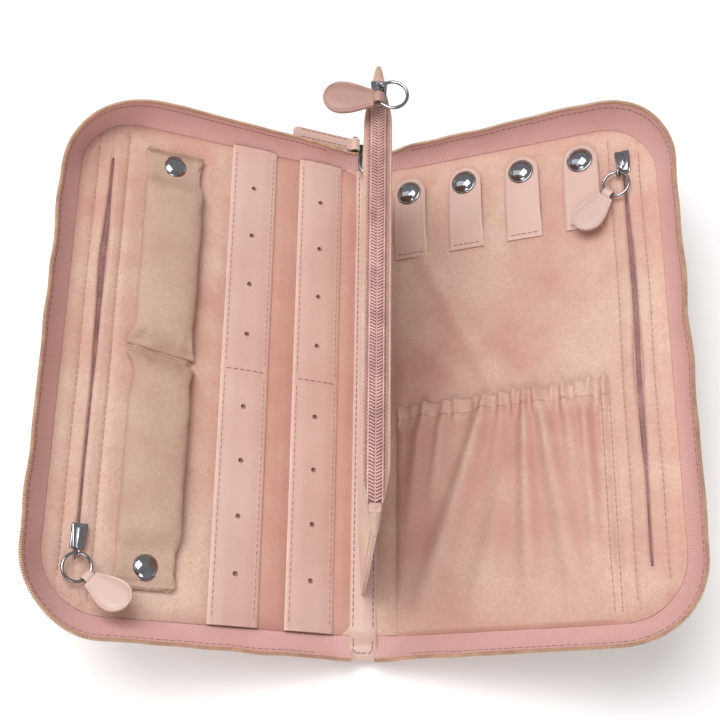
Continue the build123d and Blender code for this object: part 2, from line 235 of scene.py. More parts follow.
def joined(name: str, parts: Sequence[bpy.types.Object]) -> bpy.types.Object:
    """Joins objects into one.

    Args:
        name: The new piece's name.
        parts: The objects to join.

    Returns:
        The joined object.
    """
    only(parts[0])
    for part in parts[1:]:
        part.select_set(True)
    if len(parts) > 1:
        bpy.ops.object.join()
    obj = bpy.context.view_layer.objects.active
    obj.name = name
    return obj


def settle(obj: bpy.types.Object) -> bpy.types.Object:
    """Puts an object's place into its mesh."""
    obj.data.transform(obj.matrix_basis)
    obj.matrix_basis = Matrix.Identity(4)
    return obj


def box_piece(name: str, low: Point, high: Point, round_by: float, segments: int = 3) -> bpy.types.Object:
    """A block with rounded edges.

    Args:
        name: The piece's name.
        low: Its lowest corner.
        high: Its highest corner.
        round_by: The radius of its edges.
        segments: Steps in each rounded edge.

    Returns:
        The block.
    """
    deselect()
    middle = [(a + b) / 2 for a, b in zip(low, high)]
    bpy.ops.mesh.primitive_cube_add(size=1, location=middle)
    obj = bpy.context.active_object
    obj.name = name
    obj.scale = [b - a for a, b in zip(low, high)]
    settle(obj)
    if round_by:
        modify(obj, "BEVEL", width=round_by, segments=segments, limit_method="ANGLE")
    return obj


def aimed(obj: bpy.types.Object, at: Point, axis: Vector) -> bpy.types.Object:
    """Turns a new primitive's z along an axis and moves it, in its mesh."""
    obj.data.transform(Matrix.Translation(at) @ UP.rotation_difference(axis).to_matrix().to_4x4())
    return obj


def rod(
    name: str, at: Point, along: Vector, radius: float, length: float, sides: int = 24
) -> bpy.types.Object:
    """A plain cylinder, used as a start or a cutter.

    Args:
        name: The piece's name.
        at: Its middle.
        along: The way its axis points.
        radius: Its radius.
        length: Its length.
        sides: How many sides it has.

    Returns:
        The cylinder.
    """
    deselect()
    bpy.ops.mesh.primitive_cylinder_add(vertices=sides, radius=radius, depth=length)
    obj = bpy.context.active_object
    obj.name = name
    return aimed(obj, at, along)


def torus(
    name: str, at: Point, axis: Vector, radius: float, wire: float, steps: int = 40
) -> bpy.types.Object:
    """A ring of round wire.

    Args:
        name: The piece's name.
        at: Its middle.
        axis: The way its axis points.
        radius: To the middle of the wire.
        wire: The wire's radius.
        steps: Steps around the ring.

    Returns:
        The ring.
    """
    deselect()
    bpy.ops.mesh.primitive_torus_add(
        major_segments=steps, minor_segments=10, major_radius=radius, minor_radius=wire
    )
    obj = bpy.context.active_object
    obj.name = name
    return soften(aimed(obj, at, axis), 60)


def cut(obj: bpy.types.Object, tools: Sequence[bpy.types.Object]) -> bpy.types.Object:
    """Cuts tools out of a piece and removes them.

    Args:
        obj: The piece.
        tools: The cutters.

    Returns:
        The piece.
    """
    tool = joined("cutter", tools)
    modify(obj, "BOOLEAN", object=tool, operation="DIFFERENCE", solver="EXACT")
    bpy.data.objects.remove(tool)
    return obj


def grid_piece(
    name: str, columns: Sequence[float], rows: Sequence[float], at: Callable[[int, int], Point]
) -> bpy.types.Object:
    """A sheet over a grid of columns and rows, with a UV map in metres.

    Args:
        name: The sheet's name.
        columns: Distances across the sheet, for the UV map.
        rows: Distances along the sheet, for the UV map.
        at: Gives the point for a column's and a row's number.

    Returns:
        The sheet, facing the way that columns x rows points.
    """
    points = [at(i, j) for i in range(len(columns)) for j in range(len(rows))]
    n = len(rows)
    faces = [
        (i * n + j, (i + 1) * n + j, (i + 1) * n + j + 1, i * n + j + 1)
        for i in range(len(columns) - 1)
        for j in range(n - 1)
    ]
    obj = mesh_piece(name, points, faces)
    layer = obj.data.uv_layers.new(name="cloth")
    for loop in obj.data.loops:
        i, j = divmod(loop.vertex_index, n)
        layer.data[loop.index].uv = (columns[i] * MM, rows[j] * MM)
    return obj


def tube_piece(name: str, points: Sequence[Point], n: int) -> bpy.types.Object:
    """A closed tube.

    Args:
        name: The piece's name.
        points: Its corners, ring by ring.
        n: The corners in a ring.

    Returns:
        The tube, capped at both ends and facing outward.
    """
    last = len(points) - n
    faces = [
        (j + k, j + (k + 1) % n, j + n + (k + 1) % n, j + n + k) for j in range(0, last, n) for k in range(n)
    ]
    faces += [tuple(range(n)), tuple(range(last, last + n))]
    return outward(mesh_piece(name, points, faces))


def link(half: Point, round_by: float, turn: float) -> bpy.types.Object:
    """One link of a zip's coil, in metres.

    Args:
        half: Half its size each way, in millimetres.
        round_by: The radius of its edges.
        turn: How far it is turned across the zip, in radians.

    Returns:
        The link, to be copied along the zip.
    """
    unit = box_piece("link", tuple(-v for v in half), half, round_by, 1)
    unit.data.transform(Matrix.Rotation(turn, 4, "Z"))
    unit.data.transform(Matrix.Scale(MM, 4))
    return unit


def paint_shade(obj: bpy.types.Object, amounts: Iterable[float]) -> bpy.types.Object:
    """Marks how much painted shade darkens the suede at each of a piece's points, from 0 to 1."""
    layer = obj.data.attributes.new(PAINTED_SHADE_MARK, "FLOAT", "POINT")
    layer.data.foreach_set("value", [min(1.0, max(0.0, a)) for a in amounts])
    return obj


def spaced(low: float, high: float, step: float) -> list[float]:
    """Even values from low to high, about step apart."""
    count = max(1, round((high - low) / step))
    return [low + (high - low) * i / count for i in range(count + 1)]


def mirrored(shares: Sequence[float]) -> list[float]:
    """Values from 0 up, with the same values on the negative side before them."""
    return [-v for v in reversed(shares[1:])] + list(shares)


def copies(name: str, unit: bpy.types.Object, frames: Sequence[Matrix]) -> bpy.types.Object:
    """One mesh of a unit repeated at many frames. The unit is removed.

    Args:
        name: The new piece's name.
        unit: The shape that repeats.
        frames: Where each copy goes.

    Returns:
        The joined copies.
    """
    points = np.array([v.co for v in unit.data.vertices])
    ones = np.c_[points, np.ones(len(points))]
    faces = [tuple(p.vertices) for p in unit.data.polygons]
    out, polygons = [], []
    for k, place in enumerate(frames):
        out.append((ones @ np.array(place).T)[:, :3])
        polygons += [tuple(i + k * len(points) for i in f) for f in faces]
    bpy.data.objects.remove(unit)
    obj = mesh_piece(name, np.concatenate(out), polygons)
    return soften(obj, 50)


def along(path: Sequence[Vector], ups: Ups, pitch: float, skip: float = 0.0) -> list[Matrix]:
    """Frames evenly spaced along a path: x along it and z up.

    Args:
        path: The path's points.
        ups: Up at each point, or for all of them.
        pitch: The spacing.
        skip: Length left free at each end.

    Returns:
        One matrix for each place.
    """
    ups = [ups] * len(path) if isinstance(ups, Vector) else ups
    steps = [(b - a).length for a, b in zip(path, path[1:])]
    total = sum(steps)
    count = max(1, int((total - 2 * skip) / pitch))
    start = (total - (count - 1) * pitch) / 2
    frames, reached, k = [], 0.0, 0
    for n in range(count):
        want = start + n * pitch
        while k < len(steps) - 1 and reached + steps[k] < want:
            reached += steps[k]
            k += 1
        t = (want - reached) / steps[k]
        x = (path[k + 1] - path[k]).normalized()
        z = ups[k].lerp(ups[k + 1], t)
        z = (z - x * z.dot(x)).normalized()
        basis = Matrix((x, z.cross(x), z)).transposed().to_4x4()
        frames.append(Matrix.Translation(path[k].lerp(path[k + 1], t)) @ basis)
    return frames


# ---- shader groups ------------------------------------------------------------------------------


class Sketch:
    """A node tree being filled in."""

    def __init__(self, tree: bpy.types.NodeTree) -> None:
        """Args:
            tree: The tree to fill in.
        """
        self.tree = tree

    def fill(self, node: bpy.types.Node, inputs: dict) -> None:
        """Gives a node's inputs their values or sockets, by name or number."""
        for key, value in inputs.items():
            if isinstance(value, bpy.types.NodeSocket):
                self.tree.links.new(value, node.inputs[key])
            else:
                node.inputs[key].default_value = value

    def add(self, kind: str, inputs: Optional[dict] = None, **settings: object) -> bpy.types.Node:
        """Adds a node.

        Args:
            kind: The node's type.
            inputs: Values or sockets for its inputs, by name or number.
            settings: Its settings.

        Returns:
            The node.
        """
        made = self.tree.nodes.new(kind)
        for key, value in settings.items():
            setattr(made, key, value)
        self.fill(made, inputs or {})
        return made

    def math(self, operation: str, a: object, b: object = 0.0) -> bpy.types.NodeSocket:
        """The result of a sum on two values or sockets."""
        return self.add("ShaderNodeMath", {0: a, 1: b}, operation=operation).outputs[0]

    def weigh(self, a: object, part: float, b: object, rest: float) -> bpy.types.NodeSocket:
        """Two values added, each times its weight."""
        return self.math("ADD", self.math("MULTIPLY", a, part), self.math("MULTIPLY", b, rest))

    def noise(
        self, vector: object, scale: float, detail: float = 2.0, rough: float = 0.5
    ) -> bpy.types.NodeSocket:
        """A noise value from 0 to 1."""
        inputs = {"Vector": vector, "Scale": scale, "Detail": detail, "Roughness": rough}
        return self.add("ShaderNodeTexNoise", inputs).outputs["Fac"]

    def spread(self, value: object, low: float, high: float) -> bpy.types.NodeSocket:
        """Stretches a value so that low to high becomes 0 to 1."""
        inputs = {"Value": value, "From Min": low, "From Max": high}
        return self.add("ShaderNodeMapRange", inputs, clamp=True).outputs[0]

    def mix(self, share: object, a: object, b: object) -> bpy.types.NodeSocket:
        """A colour between a and b."""
        return self.add("ShaderNodeMix", {0: share, 6: a, 7: b}, data_type="RGBA").outputs[2]

    def relief(
        self, shader: bpy.types.Node, height: bpy.types.NodeSocket, depth: float, strength: float
    ) -> None:
        """Feeds a height, depth metres deep, to a shader's normal."""
        made = self.add("ShaderNodeBump", {"Height": height, "Distance": depth, "Strength": strength})
        self.fill(shader, {"Normal": made.outputs["Normal"]})


def new_group(
    name: str, inputs: dict[str, float], outputs: Sequence[str]
) -> tuple[Sketch, bpy.types.Node, bpy.types.Node]:
    """Starts a shader node group.

    Args:
        name: The group's name.
        inputs: Its number inputs and their defaults. It also takes a Vector.
        outputs: Its number outputs.

    Returns:
        The sketch, the group's input node and its output node.
    """
    tree = bpy.data.node_groups.new(name, "ShaderNodeTree")
    tree.interface.new_socket("Vector", in_out="INPUT", socket_type="NodeSocketVector")
    for key, value in inputs.items():
        socket = tree.interface.new_socket(key, in_out="INPUT", socket_type="NodeSocketFloat")
        socket.default_value = value
    for key in outputs:
        tree.interface.new_socket(key, in_out="OUTPUT", socket_type="NodeSocketFloat")
    sketch = Sketch(tree)
    return sketch, sketch.add("NodeGroupInput"), sketch.add("NodeGroupOutput")


def nap_group() -> bpy.types.NodeTree:
    """Brushed nap: soft patches where the pile lies over, and the pile itself."""
    s, given, result = new_group("brushed_nap", {"Patch": 16.0, "Pile": 1100.0}, ("Brushed", "Pile", "Height"))
    vector = given.outputs["Vector"]
    warp = s.add("ShaderNodeTexNoise", {"Vector": vector, "Scale": 25.0}).outputs["Color"]
    bent = s.add("ShaderNodeVectorMath", {0: warp, 1: (0.02, 0.02, 0.02)}, operation="MULTIPLY").outputs[0]
    moved = s.add("ShaderNodeVectorMath", {0: vector, 1: bent}, operation="ADD").outputs[0]
    broad = s.noise(moved, given.outputs["Patch"], 3.0, 0.55)
    streak = s.noise(moved, 60.0, 3.0, 0.6)
    pile = s.noise(vector, given.outputs["Pile"], 2.0, 0.7)
    tuft = s.noise(vector, 420.0, 2.0, 0.6)
    s.fill(result, {
        "Brushed": s.spread(s.weigh(broad, 0.7, streak, 0.3), 0.36, 0.64),
        "Pile": s.spread(s.weigh(pile, 0.7, tuft, 0.3), 0.3, 0.7),
        "Height": s.weigh(pile, 0.6, tuft, 0.4),
    })
    return s.tree


def grain_group() -> bpy.types.NodeTree:
    """Fine leather grain: small cells with creases between them, and a slow cloudiness."""
    s, given, result = new_group("leather_grain", {"Cells": 1100.0}, ("Cloud", "Crease", "Height"))
    vector = given.outputs["Vector"]
    inputs = {"Vector": vector, "Scale": given.outputs["Cells"]}
    cells = s.add("ShaderNodeTexVoronoi", inputs, feature="DISTANCE_TO_EDGE").outputs["Distance"]
    crease = s.spread(cells, 0.0, 0.22)
    fine = s.noise(vector, 2600.0, 2.0, 0.6)
    cloud = s.spread(s.noise(vector, 28.0, 3.0, 0.5), 0.3, 0.7)
    s.fill(result, {"Cloud": cloud, "Crease": crease, "Height": s.weigh(crease, 0.7, fine, 0.3)})
    return s.tree


def weave_group() -> bpy.types.NodeTree:
    """Woven tape on UVs in metres: ribs along it, crossed by finer picks in a herringbone."""
    s, given, result = new_group("woven_tape", {"Rib": 0.0011, "Pick": 0.0008}, ("Thread", "Height"))
    split = s.add("ShaderNodeSeparateXYZ", {0: given.outputs["Vector"]})
    x = s.math("DIVIDE", split.outputs[0], given.outputs["Rib"])
    y = s.math("DIVIDE", split.outputs[1], given.outputs["Pick"])
    zigzag = s.math("ABSOLUTE", s.math("SUBTRACT", s.math("FRACT", x), 0.5))
    turn = 2 * math.pi
    picks = s.math("SINE", s.math("MULTIPLY", s.math("ADD", y, s.math("MULTIPLY", zigzag, 1.6)), turn))
    ribs = s.math("COSINE", s.math("MULTIPLY", x, turn))
    height = s.weigh(picks, 0.5, ribs, 0.35)
    s.fill(result, {"Thread": s.spread(height, -0.8, 0.8), "Height": height})
    return s.tree


def wear_group() -> bpy.types.NodeTree:
    """A mask of raised edges, broken up as by handling."""
    s, given, result = new_group("edge_wear", {"Amount": 1.0}, ("Edge",))
    edge = s.spread(s.add("ShaderNodeNewGeometry").outputs["Pointiness"], 0.52, 0.6)
    rubbed = s.spread(s.noise(given.outputs["Vector"], 90.0, 3.0, 0.6), 0.35, 0.7)
    s.fill(result, {"Edge": s.math("MULTIPLY", s.math("MULTIPLY", edge, rubbed), given.outputs["Amount"])})
    return s.tree


class Groups:
    """The shader groups, each built once and shared by every finish."""

    made: dict[str, bpy.types.NodeTree] = {}
    makers: dict[str, Callable[[], bpy.types.NodeTree]] = {
        "nap": nap_group,
        "grain": grain_group,
        "weave": weave_group,
        "wear": wear_group,
    }

    @classmethod
    def place(cls, sketch: Sketch, name: str, vector: bpy.types.NodeSocket, **values: float) -> bpy.types.Node:
        """Places a group in a material.

        Args:
            sketch: The material's sketch.
            name: The group's short name.
            vector: The coordinates it reads.
            values: Its own values.

        Returns:
            The group's node.
        """
        if name not in cls.made:
            cls.made[name] = cls.makers[name]()
        return sketch.add("ShaderNodeGroup", {"Vector": vector, **values}, node_tree=cls.made[name])


# ---- finishes -----------------------------------------------------------------------------------


@dataclass(frozen=True)
class Dress:
    """A built material and the record's slot that it belongs to."""

    material: bpy.types.Material
    slot: Slot


@dataclass(frozen=True)
class Finish:
    """A material: its name, slot and colours."""

    name: str
    slot: Slot
    colour: Colour
    deep: Colour
    rough: float = 0.6

    def build(self) -> Dress:
        """The finished material, with its slot."""
        material = bpy.data.materials.new(self.name)
        material.use_nodes = True
        sketch = Sketch(material.node_tree)
        shader = material.node_tree.nodes["Principled BSDF"]
        sketch.fill(shader, {"Roughness": self.rough})
        self.paint(sketch, shader, sketch.add("ShaderNodeTexCoord"))
        return Dress(material, self.slot)

    def paint(self, s: Sketch, shader: bpy.types.Node, given: bpy.types.Node) -> None:
        """Fills in the material, from its sketch, its shader and its coordinates' node."""
        raise NotImplementedError


@dataclass(frozen=True)
class Suede(Finish):
    """Peach suede with a brushed nap."""

    patch: float = 16.0

    def paint(self, s: Sketch, shader: bpy.types.Node, given: bpy.types.Node) -> None:
        """Suede whose nap is lighter where it is brushed one way, and darker with painted shade where it is
        marked.
        """
        nap = Groups.place(s, "nap", given.outputs["Object"], Patch=self.patch)
        base = s.mix(nap.outputs["Brushed"], self.deep, self.colour)
        # Painted shade: marked points are mixed towards this darker tone.
        painted_shade_tone = (self.deep[0] * 0.86, self.deep[1] * 0.68, self.deep[2] * 0.68, 1.0)
        base = s.mix(s.add("ShaderNodeAttribute", attribute_name=PAINTED_SHADE_MARK).outputs["Fac"], base, painted_shade_tone)
        shade = tuple(c * 0.78 for c in self.deep[:3]) + (1.0,)
        flecks = s.math("MULTIPLY", s.math("SUBTRACT", 1.0, nap.outputs["Pile"]), 0.62)
        s.fill(shader, {
            "Base Color": s.mix(flecks, base, shade), "Sheen Weight": 0.45, "Sheen Roughness": 0.4,
            "Sheen Tint": self.colour, "Specular IOR Level": 0.2,
        })
        s.relief(shader, nap.outputs["Height"], 0.0006, 0.55)


@dataclass(frozen=True)
class Leather(Finish):
    """Smooth coated leather."""

    cells: float = 1100.0

    def paint(self, s: Sketch, shader: bpy.types.Node, given: bpy.types.Node) -> None:
        """Leather with a fine grain, slow cloudiness and paler rubbed edges."""
        place = given.outputs["Object"]
        grain = Groups.place(s, "grain", place, Cells=self.cells)
        wear = Groups.place(s, "wear", place, Amount=0.45)
        base = s.mix(grain.outputs["Cloud"], self.deep, self.colour)
        creases = s.math("MULTIPLY", s.math("SUBTRACT", 1.0, grain.outputs["Crease"]), 0.18)
        pale = tuple(min(1.0, c * 1.18) for c in self.colour[:3]) + (1.0,)
        s.fill(shader, {
            "Base Color": s.mix(wear.outputs["Edge"], s.mix(creases, base, self.deep), pale),
            "Roughness": s.math("ADD", s.math("MULTIPLY", grain.outputs["Cloud"], 0.12), self.rough - 0.06),
            "Coat Weight": 0.12, "Coat Roughness": 0.35,
        })
        s.relief(shader, grain.outputs["Height"], 0.0002, 0.35)


@dataclass(frozen=True)
class Woven(Finish):
    """Woven tape or cloth, patterned on the piece's UV map."""

    rib: float = 1.1
    pick: float = 0.8

    def paint(self, s: Sketch, shader: bpy.types.Node, given: bpy.types.Node) -> None:
        """Woven threads, darker between the ribs."""
        weave = Groups.place(s, "weave", given.outputs["UV"], Rib=self.rib * MM, Pick=self.pick * MM)
        cloud = s.spread(s.noise(given.outputs["Object"], 40.0, 3.0, 0.6), 0.3, 0.7)
        base = s.mix(weave.outputs["Thread"], self.deep, self.colour)
        s.fill(shader, {
            "Base Color": s.mix(s.math("MULTIPLY", cloud, 0.35), base, self.deep),
            "Sheen Weight": 0.25, "Sheen Tint": self.colour, "Specular IOR Level": 0.3,
        })
        s.relief(shader, weave.outputs["Height"], 0.0003, 0.7)


@dataclass(frozen=True)
class Polymer(Finish):
    """Moulded coil, thread or board: a speckled solid colour."""

    grain: float = 900.0
    depth: float = 0.0001

    def paint(self, s: Sketch, shader: bpy.types.Node, given: bpy.types.Node) -> None:
        """A solid colour with fine speckle and uneven gloss."""
        place = given.outputs["Object"]
        cloud = s.spread(s.noise(place, 120.0, 3.0, 0.6), 0.3, 0.7)
        speck = s.noise(place, self.grain, 2.0, 0.6)
        s.fill(shader, {
            "Base Color": s.mix(cloud, self.deep, self.colour),
            "Roughness": s.math("ADD", s.math("MULTIPLY", speck, 0.2), self.rough - 0.1),
        })
        s.relief(shader, speck, self.depth, 0.4)


@dataclass(frozen=True)
class Metal(Finish):
    """Polished plated metal."""

    def paint(self, s: Sketch, shader: bpy.types.Node, given: bpy.types.Node) -> None:
        """Bright plating with faint smears and darkening in patches."""
        place = given.outputs["Object"]
        smear = s.spread(s.noise(place, 260.0, 3.0, 0.6), 0.35, 0.75)
        s.fill(shader, {
            "Base Color": s.mix(smear, self.colour, self.deep),
            "Roughness": s.math("ADD", s.math("MULTIPLY", smear, 0.08), self.rough), "Metallic": 1.0,
        })
        s.relief(shader, s.noise(place, 700.0), 0.00004, 0.25)


class Finishes:
    """Every finish on the case, built once. A name differs from the frame's own materials."""

    def __init__(self) -> None:
        """Builds the materials."""
        suede, leather, tape, coil = Slot.SUEDE, Slot.LEATHER, Slot.TAPE, Slot.COIL
        zipped, metal = Slot.POCKET_ZIP, Slot.METAL
        self.suede = Suede("peach_suede", suede, linear(220, 195, 177), linear(200, 155, 141), 0.95).build()
        self.roll = Suede(
            "roll_suede", suede, linear(195, 170, 151), linear(182, 149, 132), 0.95, 24.0
        ).build()
        self.leather = Leather(
            "rose_leather", leather, linear(206, 175, 163), linear(198, 163, 151), 0.5
        ).build()
        self.pull = Leather(
            "pull_leather", leather, linear(204, 178, 167), linear(196, 166, 155), 0.48
        ).build()
        # Painted shade: a darker copy of the pulls' leather, for the divider's pull.
        self.shaded_pull = Leather(
            "dusky_pull_leather", leather, linear(172, 134, 124), linear(158, 120, 110), 0.45
        ).build()
        self.tape = Woven("rose_tape", tape, linear(246, 202, 196), linear(214, 166, 162), 0.85).build()
        self.pale_tape = Woven(
            "pale_tape", tape, linear(208, 170, 160), linear(150, 108, 104), 0.85, 2.3, 1.5
        ).build()
        self.coil = Polymer("coil_rose_gold", coil, linear(196, 158, 128), linear(164, 126, 104), 0.5).build()
        self.pale_coil = Polymer("coil_pale", coil, linear(206, 166, 158), linear(172, 130, 124), 0.5).build()
        self.dark_coil = Polymer(
            "coil_mauve", zipped, linear(150, 112, 112), linear(112, 80, 84), 0.5
        ).build()
        self.dark_tape = Woven(
            "mauve_tape", zipped, linear(128, 96, 98), linear(92, 66, 70), 0.9, 0.8, 0.6
        ).build()
        self.thread = Polymer(
            "rose_thread", tape, linear(160, 112, 108), linear(138, 92, 90), 0.7, 2500.0
        ).build()
        self.pale_thread = Polymer(
            "peach_thread", suede, linear(182, 148, 132), linear(160, 124, 110), 0.8, 2500.0
        ).build()
        self.metal = Metal(
            "bright_plating", metal, (0.36, 0.37, 0.39, 1), (0.24, 0.25, 0.27, 1), 0.06
        ).build()
        self.dark_metal = Metal(
            "dark_plating", metal, (0.10, 0.12, 0.10, 1), (0.05, 0.06, 0.055, 1), 0.12
        ).build()
        self.board = Polymer(
            "grey_board", Slot.BOARD, linear(196, 184, 166), linear(176, 164, 146), 0.9, 700.0
        ).build()
        self.foam = Polymer(
            "rose_foam", Slot.FOAM, linear(196, 158, 144), linear(178, 140, 128), 0.95, 1200.0
        ).build()
        self.bag = Polymer(
            "pocket_cotton", Slot.BAG, linear(206, 160, 150), linear(186, 140, 132), 0.9, 1800.0
        ).build()


def finish_piece(
    obj: bpy.types.Object, dress: Dress, body: Optional[str], nodes: Sequence[str] = ()
) -> bpy.types.Object:
    """Dresses a finished piece and puts it on its body.

    Args:
        obj: The piece, in metres, in place.
        dress: Its material and slot.
        body: The body it rides on, or None where the piece spans two; then it is put on none.
        nodes: The frame's nodes that it stands for.

    Returns:
        The piece.
    """
    obj.data.materials.clear()
    obj.data.materials.append(dress.material)
    if body:
        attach(obj, body)
    if nodes:
        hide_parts(*nodes)
    LOG.info("%s: %d faces on %s", obj.name, len(obj.data.polygons), body or "two bodies")
    return obj


def dress_node(name: str, dress: Dress) -> None:
    """Gives one of the frame's own nodes its finish."""
    node = frame["nodes"][name]
    node.data.materials.clear()
    node.data.materials.append(dress.material)


# ---- frames -------------------------------------------------------------------------------------


def joint(name: str) -> dict:
    """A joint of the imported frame, by name."""
    return next(j for j in frame["joints"] if j["name"] == name)


@dataclass(frozen=True)
class Place:
    """A sub-assembly's own frame: its axes and its origin, in metres."""

    x: Vector
    y: Vector
    z: Vector
    origin: Vector

    def matrix(self) -> Matrix:
        """From the frame's millimetres to the object's metres."""
        turned = Matrix((self.x, self.y, self.z)).transposed().to_4x4()
        return Matrix.Translation(self.origin) @ turned @ Matrix.Scale(MM, 4)

    def point(self, u: float, y: float, w: float) -> Vector:
        """A point of the frame, in metres."""
        return self.origin + (self.x * u + self.y * y + self.z * w) * MM

    def carry(self, obj: bpy.types.Object) -> bpy.types.Object:
        """Moves a piece from this frame's millimetres into place."""
        obj.data.transform(self.matrix())
        if self.matrix().determinant() < 0:
            flip(obj)
        obj.data.update()
        return obj


@dataclass(frozen=True)
class CoverPlace(Place):
    """A cover's frame, with the soft bend between the spine and the cover."""

    side: Side
    lift: float
    bend_start: float = -5.0
    bend_end: float = 6.0
    bend_steps: int = 10

    def bent(self, u: float, y: float, w: float) -> Vector:
        """A point of a sheet that runs on across the hinge. Past bend_end it is the cover's own."""
        if u >= self.bend_end:
            return self.point(u, y, w)
        along_x, along_z = self.bend_end * math.cos(self.lift), self.bend_end * math.sin(self.lift)
        step = (self.bend_end - u) / self.bend_steps
        for k in range(self.bend_steps):
            middle = self.bend_end - (k + 0.5) * step
            angle = self.lift * smooth(middle, self.bend_start, self.bend_end)
            along_x -= step * math.cos(angle)
            along_z -= step * math.sin(angle)
        angle = self.lift * smooth(u, self.bend_start, self.bend_end)
        out = along_x - w * math.sin(angle)
        up = along_z + w * math.cos(angle)
        return self.origin + Vector((self.side.value * out, y, up)) * MM

    def up(self, u: float) -> Vector:
        """Which way is up from the sheet at u."""
        angle = self.lift * smooth(u, self.bend_start, self.bend_end)
        return Vector((-self.side.value * math.sin(angle), 0, math.cos(angle)))


def cover_place(side: Side) -> CoverPlace:
    """A cover's frame, from its joint: it lies flat at one end of the joint's range.

    Args:
        side: Which cover.

    Returns:
        The cover's frame.
    """
    hinge = joint(f"{side.name.lower()}_cover_hinge")
    low, high = hinge["range_deg"]
    lift = math.radians(min(abs(low), abs(high)))
    x = Vector((side.value * math.cos(lift), 0, math.sin(lift)))
    z = Vector((-side.value * math.sin(lift), 0, math.cos(lift)))
    return CoverPlace(x, ALONG, z, Vector(hinge["pos_m"]), side, lift)


def hinge_place(name: str, up: Vector) -> Place:
    """The frame of a slider's ring or pull: x along its hinge, z away from the zip.

    Args:
        name: The joint's name.
        up: Away from the zip.

    Returns:
        The frame, with its origin on the hinge.
    """
    found = joint(name)
    x = -Vector(found["axis"]).normalized()
    z = (up - x * up.dot(x)).normalized()
    return Place(x, z.cross(x), z, Vector(found["pos_m"]))


@dataclass(frozen=True)
class EdgePath:
    """The line round a cover's three free sides, with a corner radius at each end."""

    outer: float
    near: float
    far: float
    near_corner: float
    far_corner: float
    start: float = 0.0

    def points(self, run: int, arc_steps: int, side: int) -> list[tuple[Vector, Vector]]:
        """Points along the line and the way out from each, from the hinge's near end to its far end.

        Args:
            run: Steps along the near side, and along the far one.
            arc_steps: Steps round each corner.
            side: Steps along the outer side.

        Returns:
            Pairs of a point and its outward direction, both flat in u and y.
        """
        n, f = self.near_corner, self.far_corner
        out = []
        for i in range(run):
            u = self.start + (self.outer - n - self.start) * i / run
            out.append((Vector((u, self.near)), Vector((0, -1))))
        for i in range(arc_steps):
            a = math.pi / 2 * i / arc_steps
            way = Vector((math.sin(a), -math.cos(a)))
            out.append((Vector((self.outer - n, self.near + n)) + way * n, way))
        for i in range(side):
            y = self.near + n + (self.far - self.near - n - f) * i / side
            out.append((Vector((self.outer, y)), Vector((1, 0))))
        for i in range(arc_steps):
            a = math.pi / 2 * i / arc_steps
            way = Vector((math.cos(a), math.sin(a)))
            out.append((Vector((self.outer - f, self.far - f)) + way * f, way))
        for i in range(run + 1):
            u = self.outer - f - (self.outer - f - self.start) * i / run
            out.append((Vector((u, self.far)), Vector((0, 1))))
        return out


def extent(place: Place, node: str) -> tuple[Vector, Vector]:
    """A node's lowest and highest corners, measured in a place's own millimetres.

    Args:
        place: The frame to measure in.
        node: The node's name.

    Returns:
        The two corners.
    """
    back = place.matrix().inverted()
    points = np.array([back @ v.co for v in frame["nodes"][node].data.vertices])
    return Vector(points.min(0)), Vector(points.max(0))


# ---- thread and snaps ---------------------------------------------------------------------------


class Thread:
    """Collects stitches for each body and sews each lot as one piece."""

    gauge: float = 0.3
    length: float = 2.2

    def __init__(self, finishes: Finishes) -> None:
        """Args:
            finishes: The case's finishes.
        """
        self.finishes = finishes
        self.lots: dict[tuple[str, bool], list[Matrix]] = {}

    def sew(
        self, body: str, path: Sequence[Vector], ups: Ups, pitch: float = 3.1, pale: bool = False
    ) -> None:
        """Adds a row of stitches.

        Args:
            body: The body it is on.
            path: The row's line, in metres.
            ups: Up from the surface, at each point or for all of them.
            pitch: The spacing, in millimetres.
            pale: True for thread in the suede's colour.
        """
        self.lots.setdefault((body, pale), []).extend(along(path, ups, pitch * MM, 0.4 * pitch * MM))

    def finish(self) -> None:
        """Makes the pieces."""
        for (body, pale), frames in self.lots.items():
            deselect()
            bpy.ops.mesh.primitive_cylinder_add(
                vertices=6, radius=self.gauge, depth=self.length, rotation=(0, math.pi / 2, 0)
            )
            stitch = settle(bpy.context.active_object)
            modify(stitch, "BEVEL", width=0.2, segments=1, limit_method="ANGLE")
            for v in stitch.data.vertices:
                v.co.z -= 0.05 * v.co.x * v.co.x
            stitch.data.transform(Matrix.Scale(MM, 4))
            colour = "pale_" if pale else ""
            piece = copies(f"{body}_{colour}stitches", stitch, frames)
            finish_piece(piece, self.finishes.pale_thread if pale else self.finishes.thread, body)


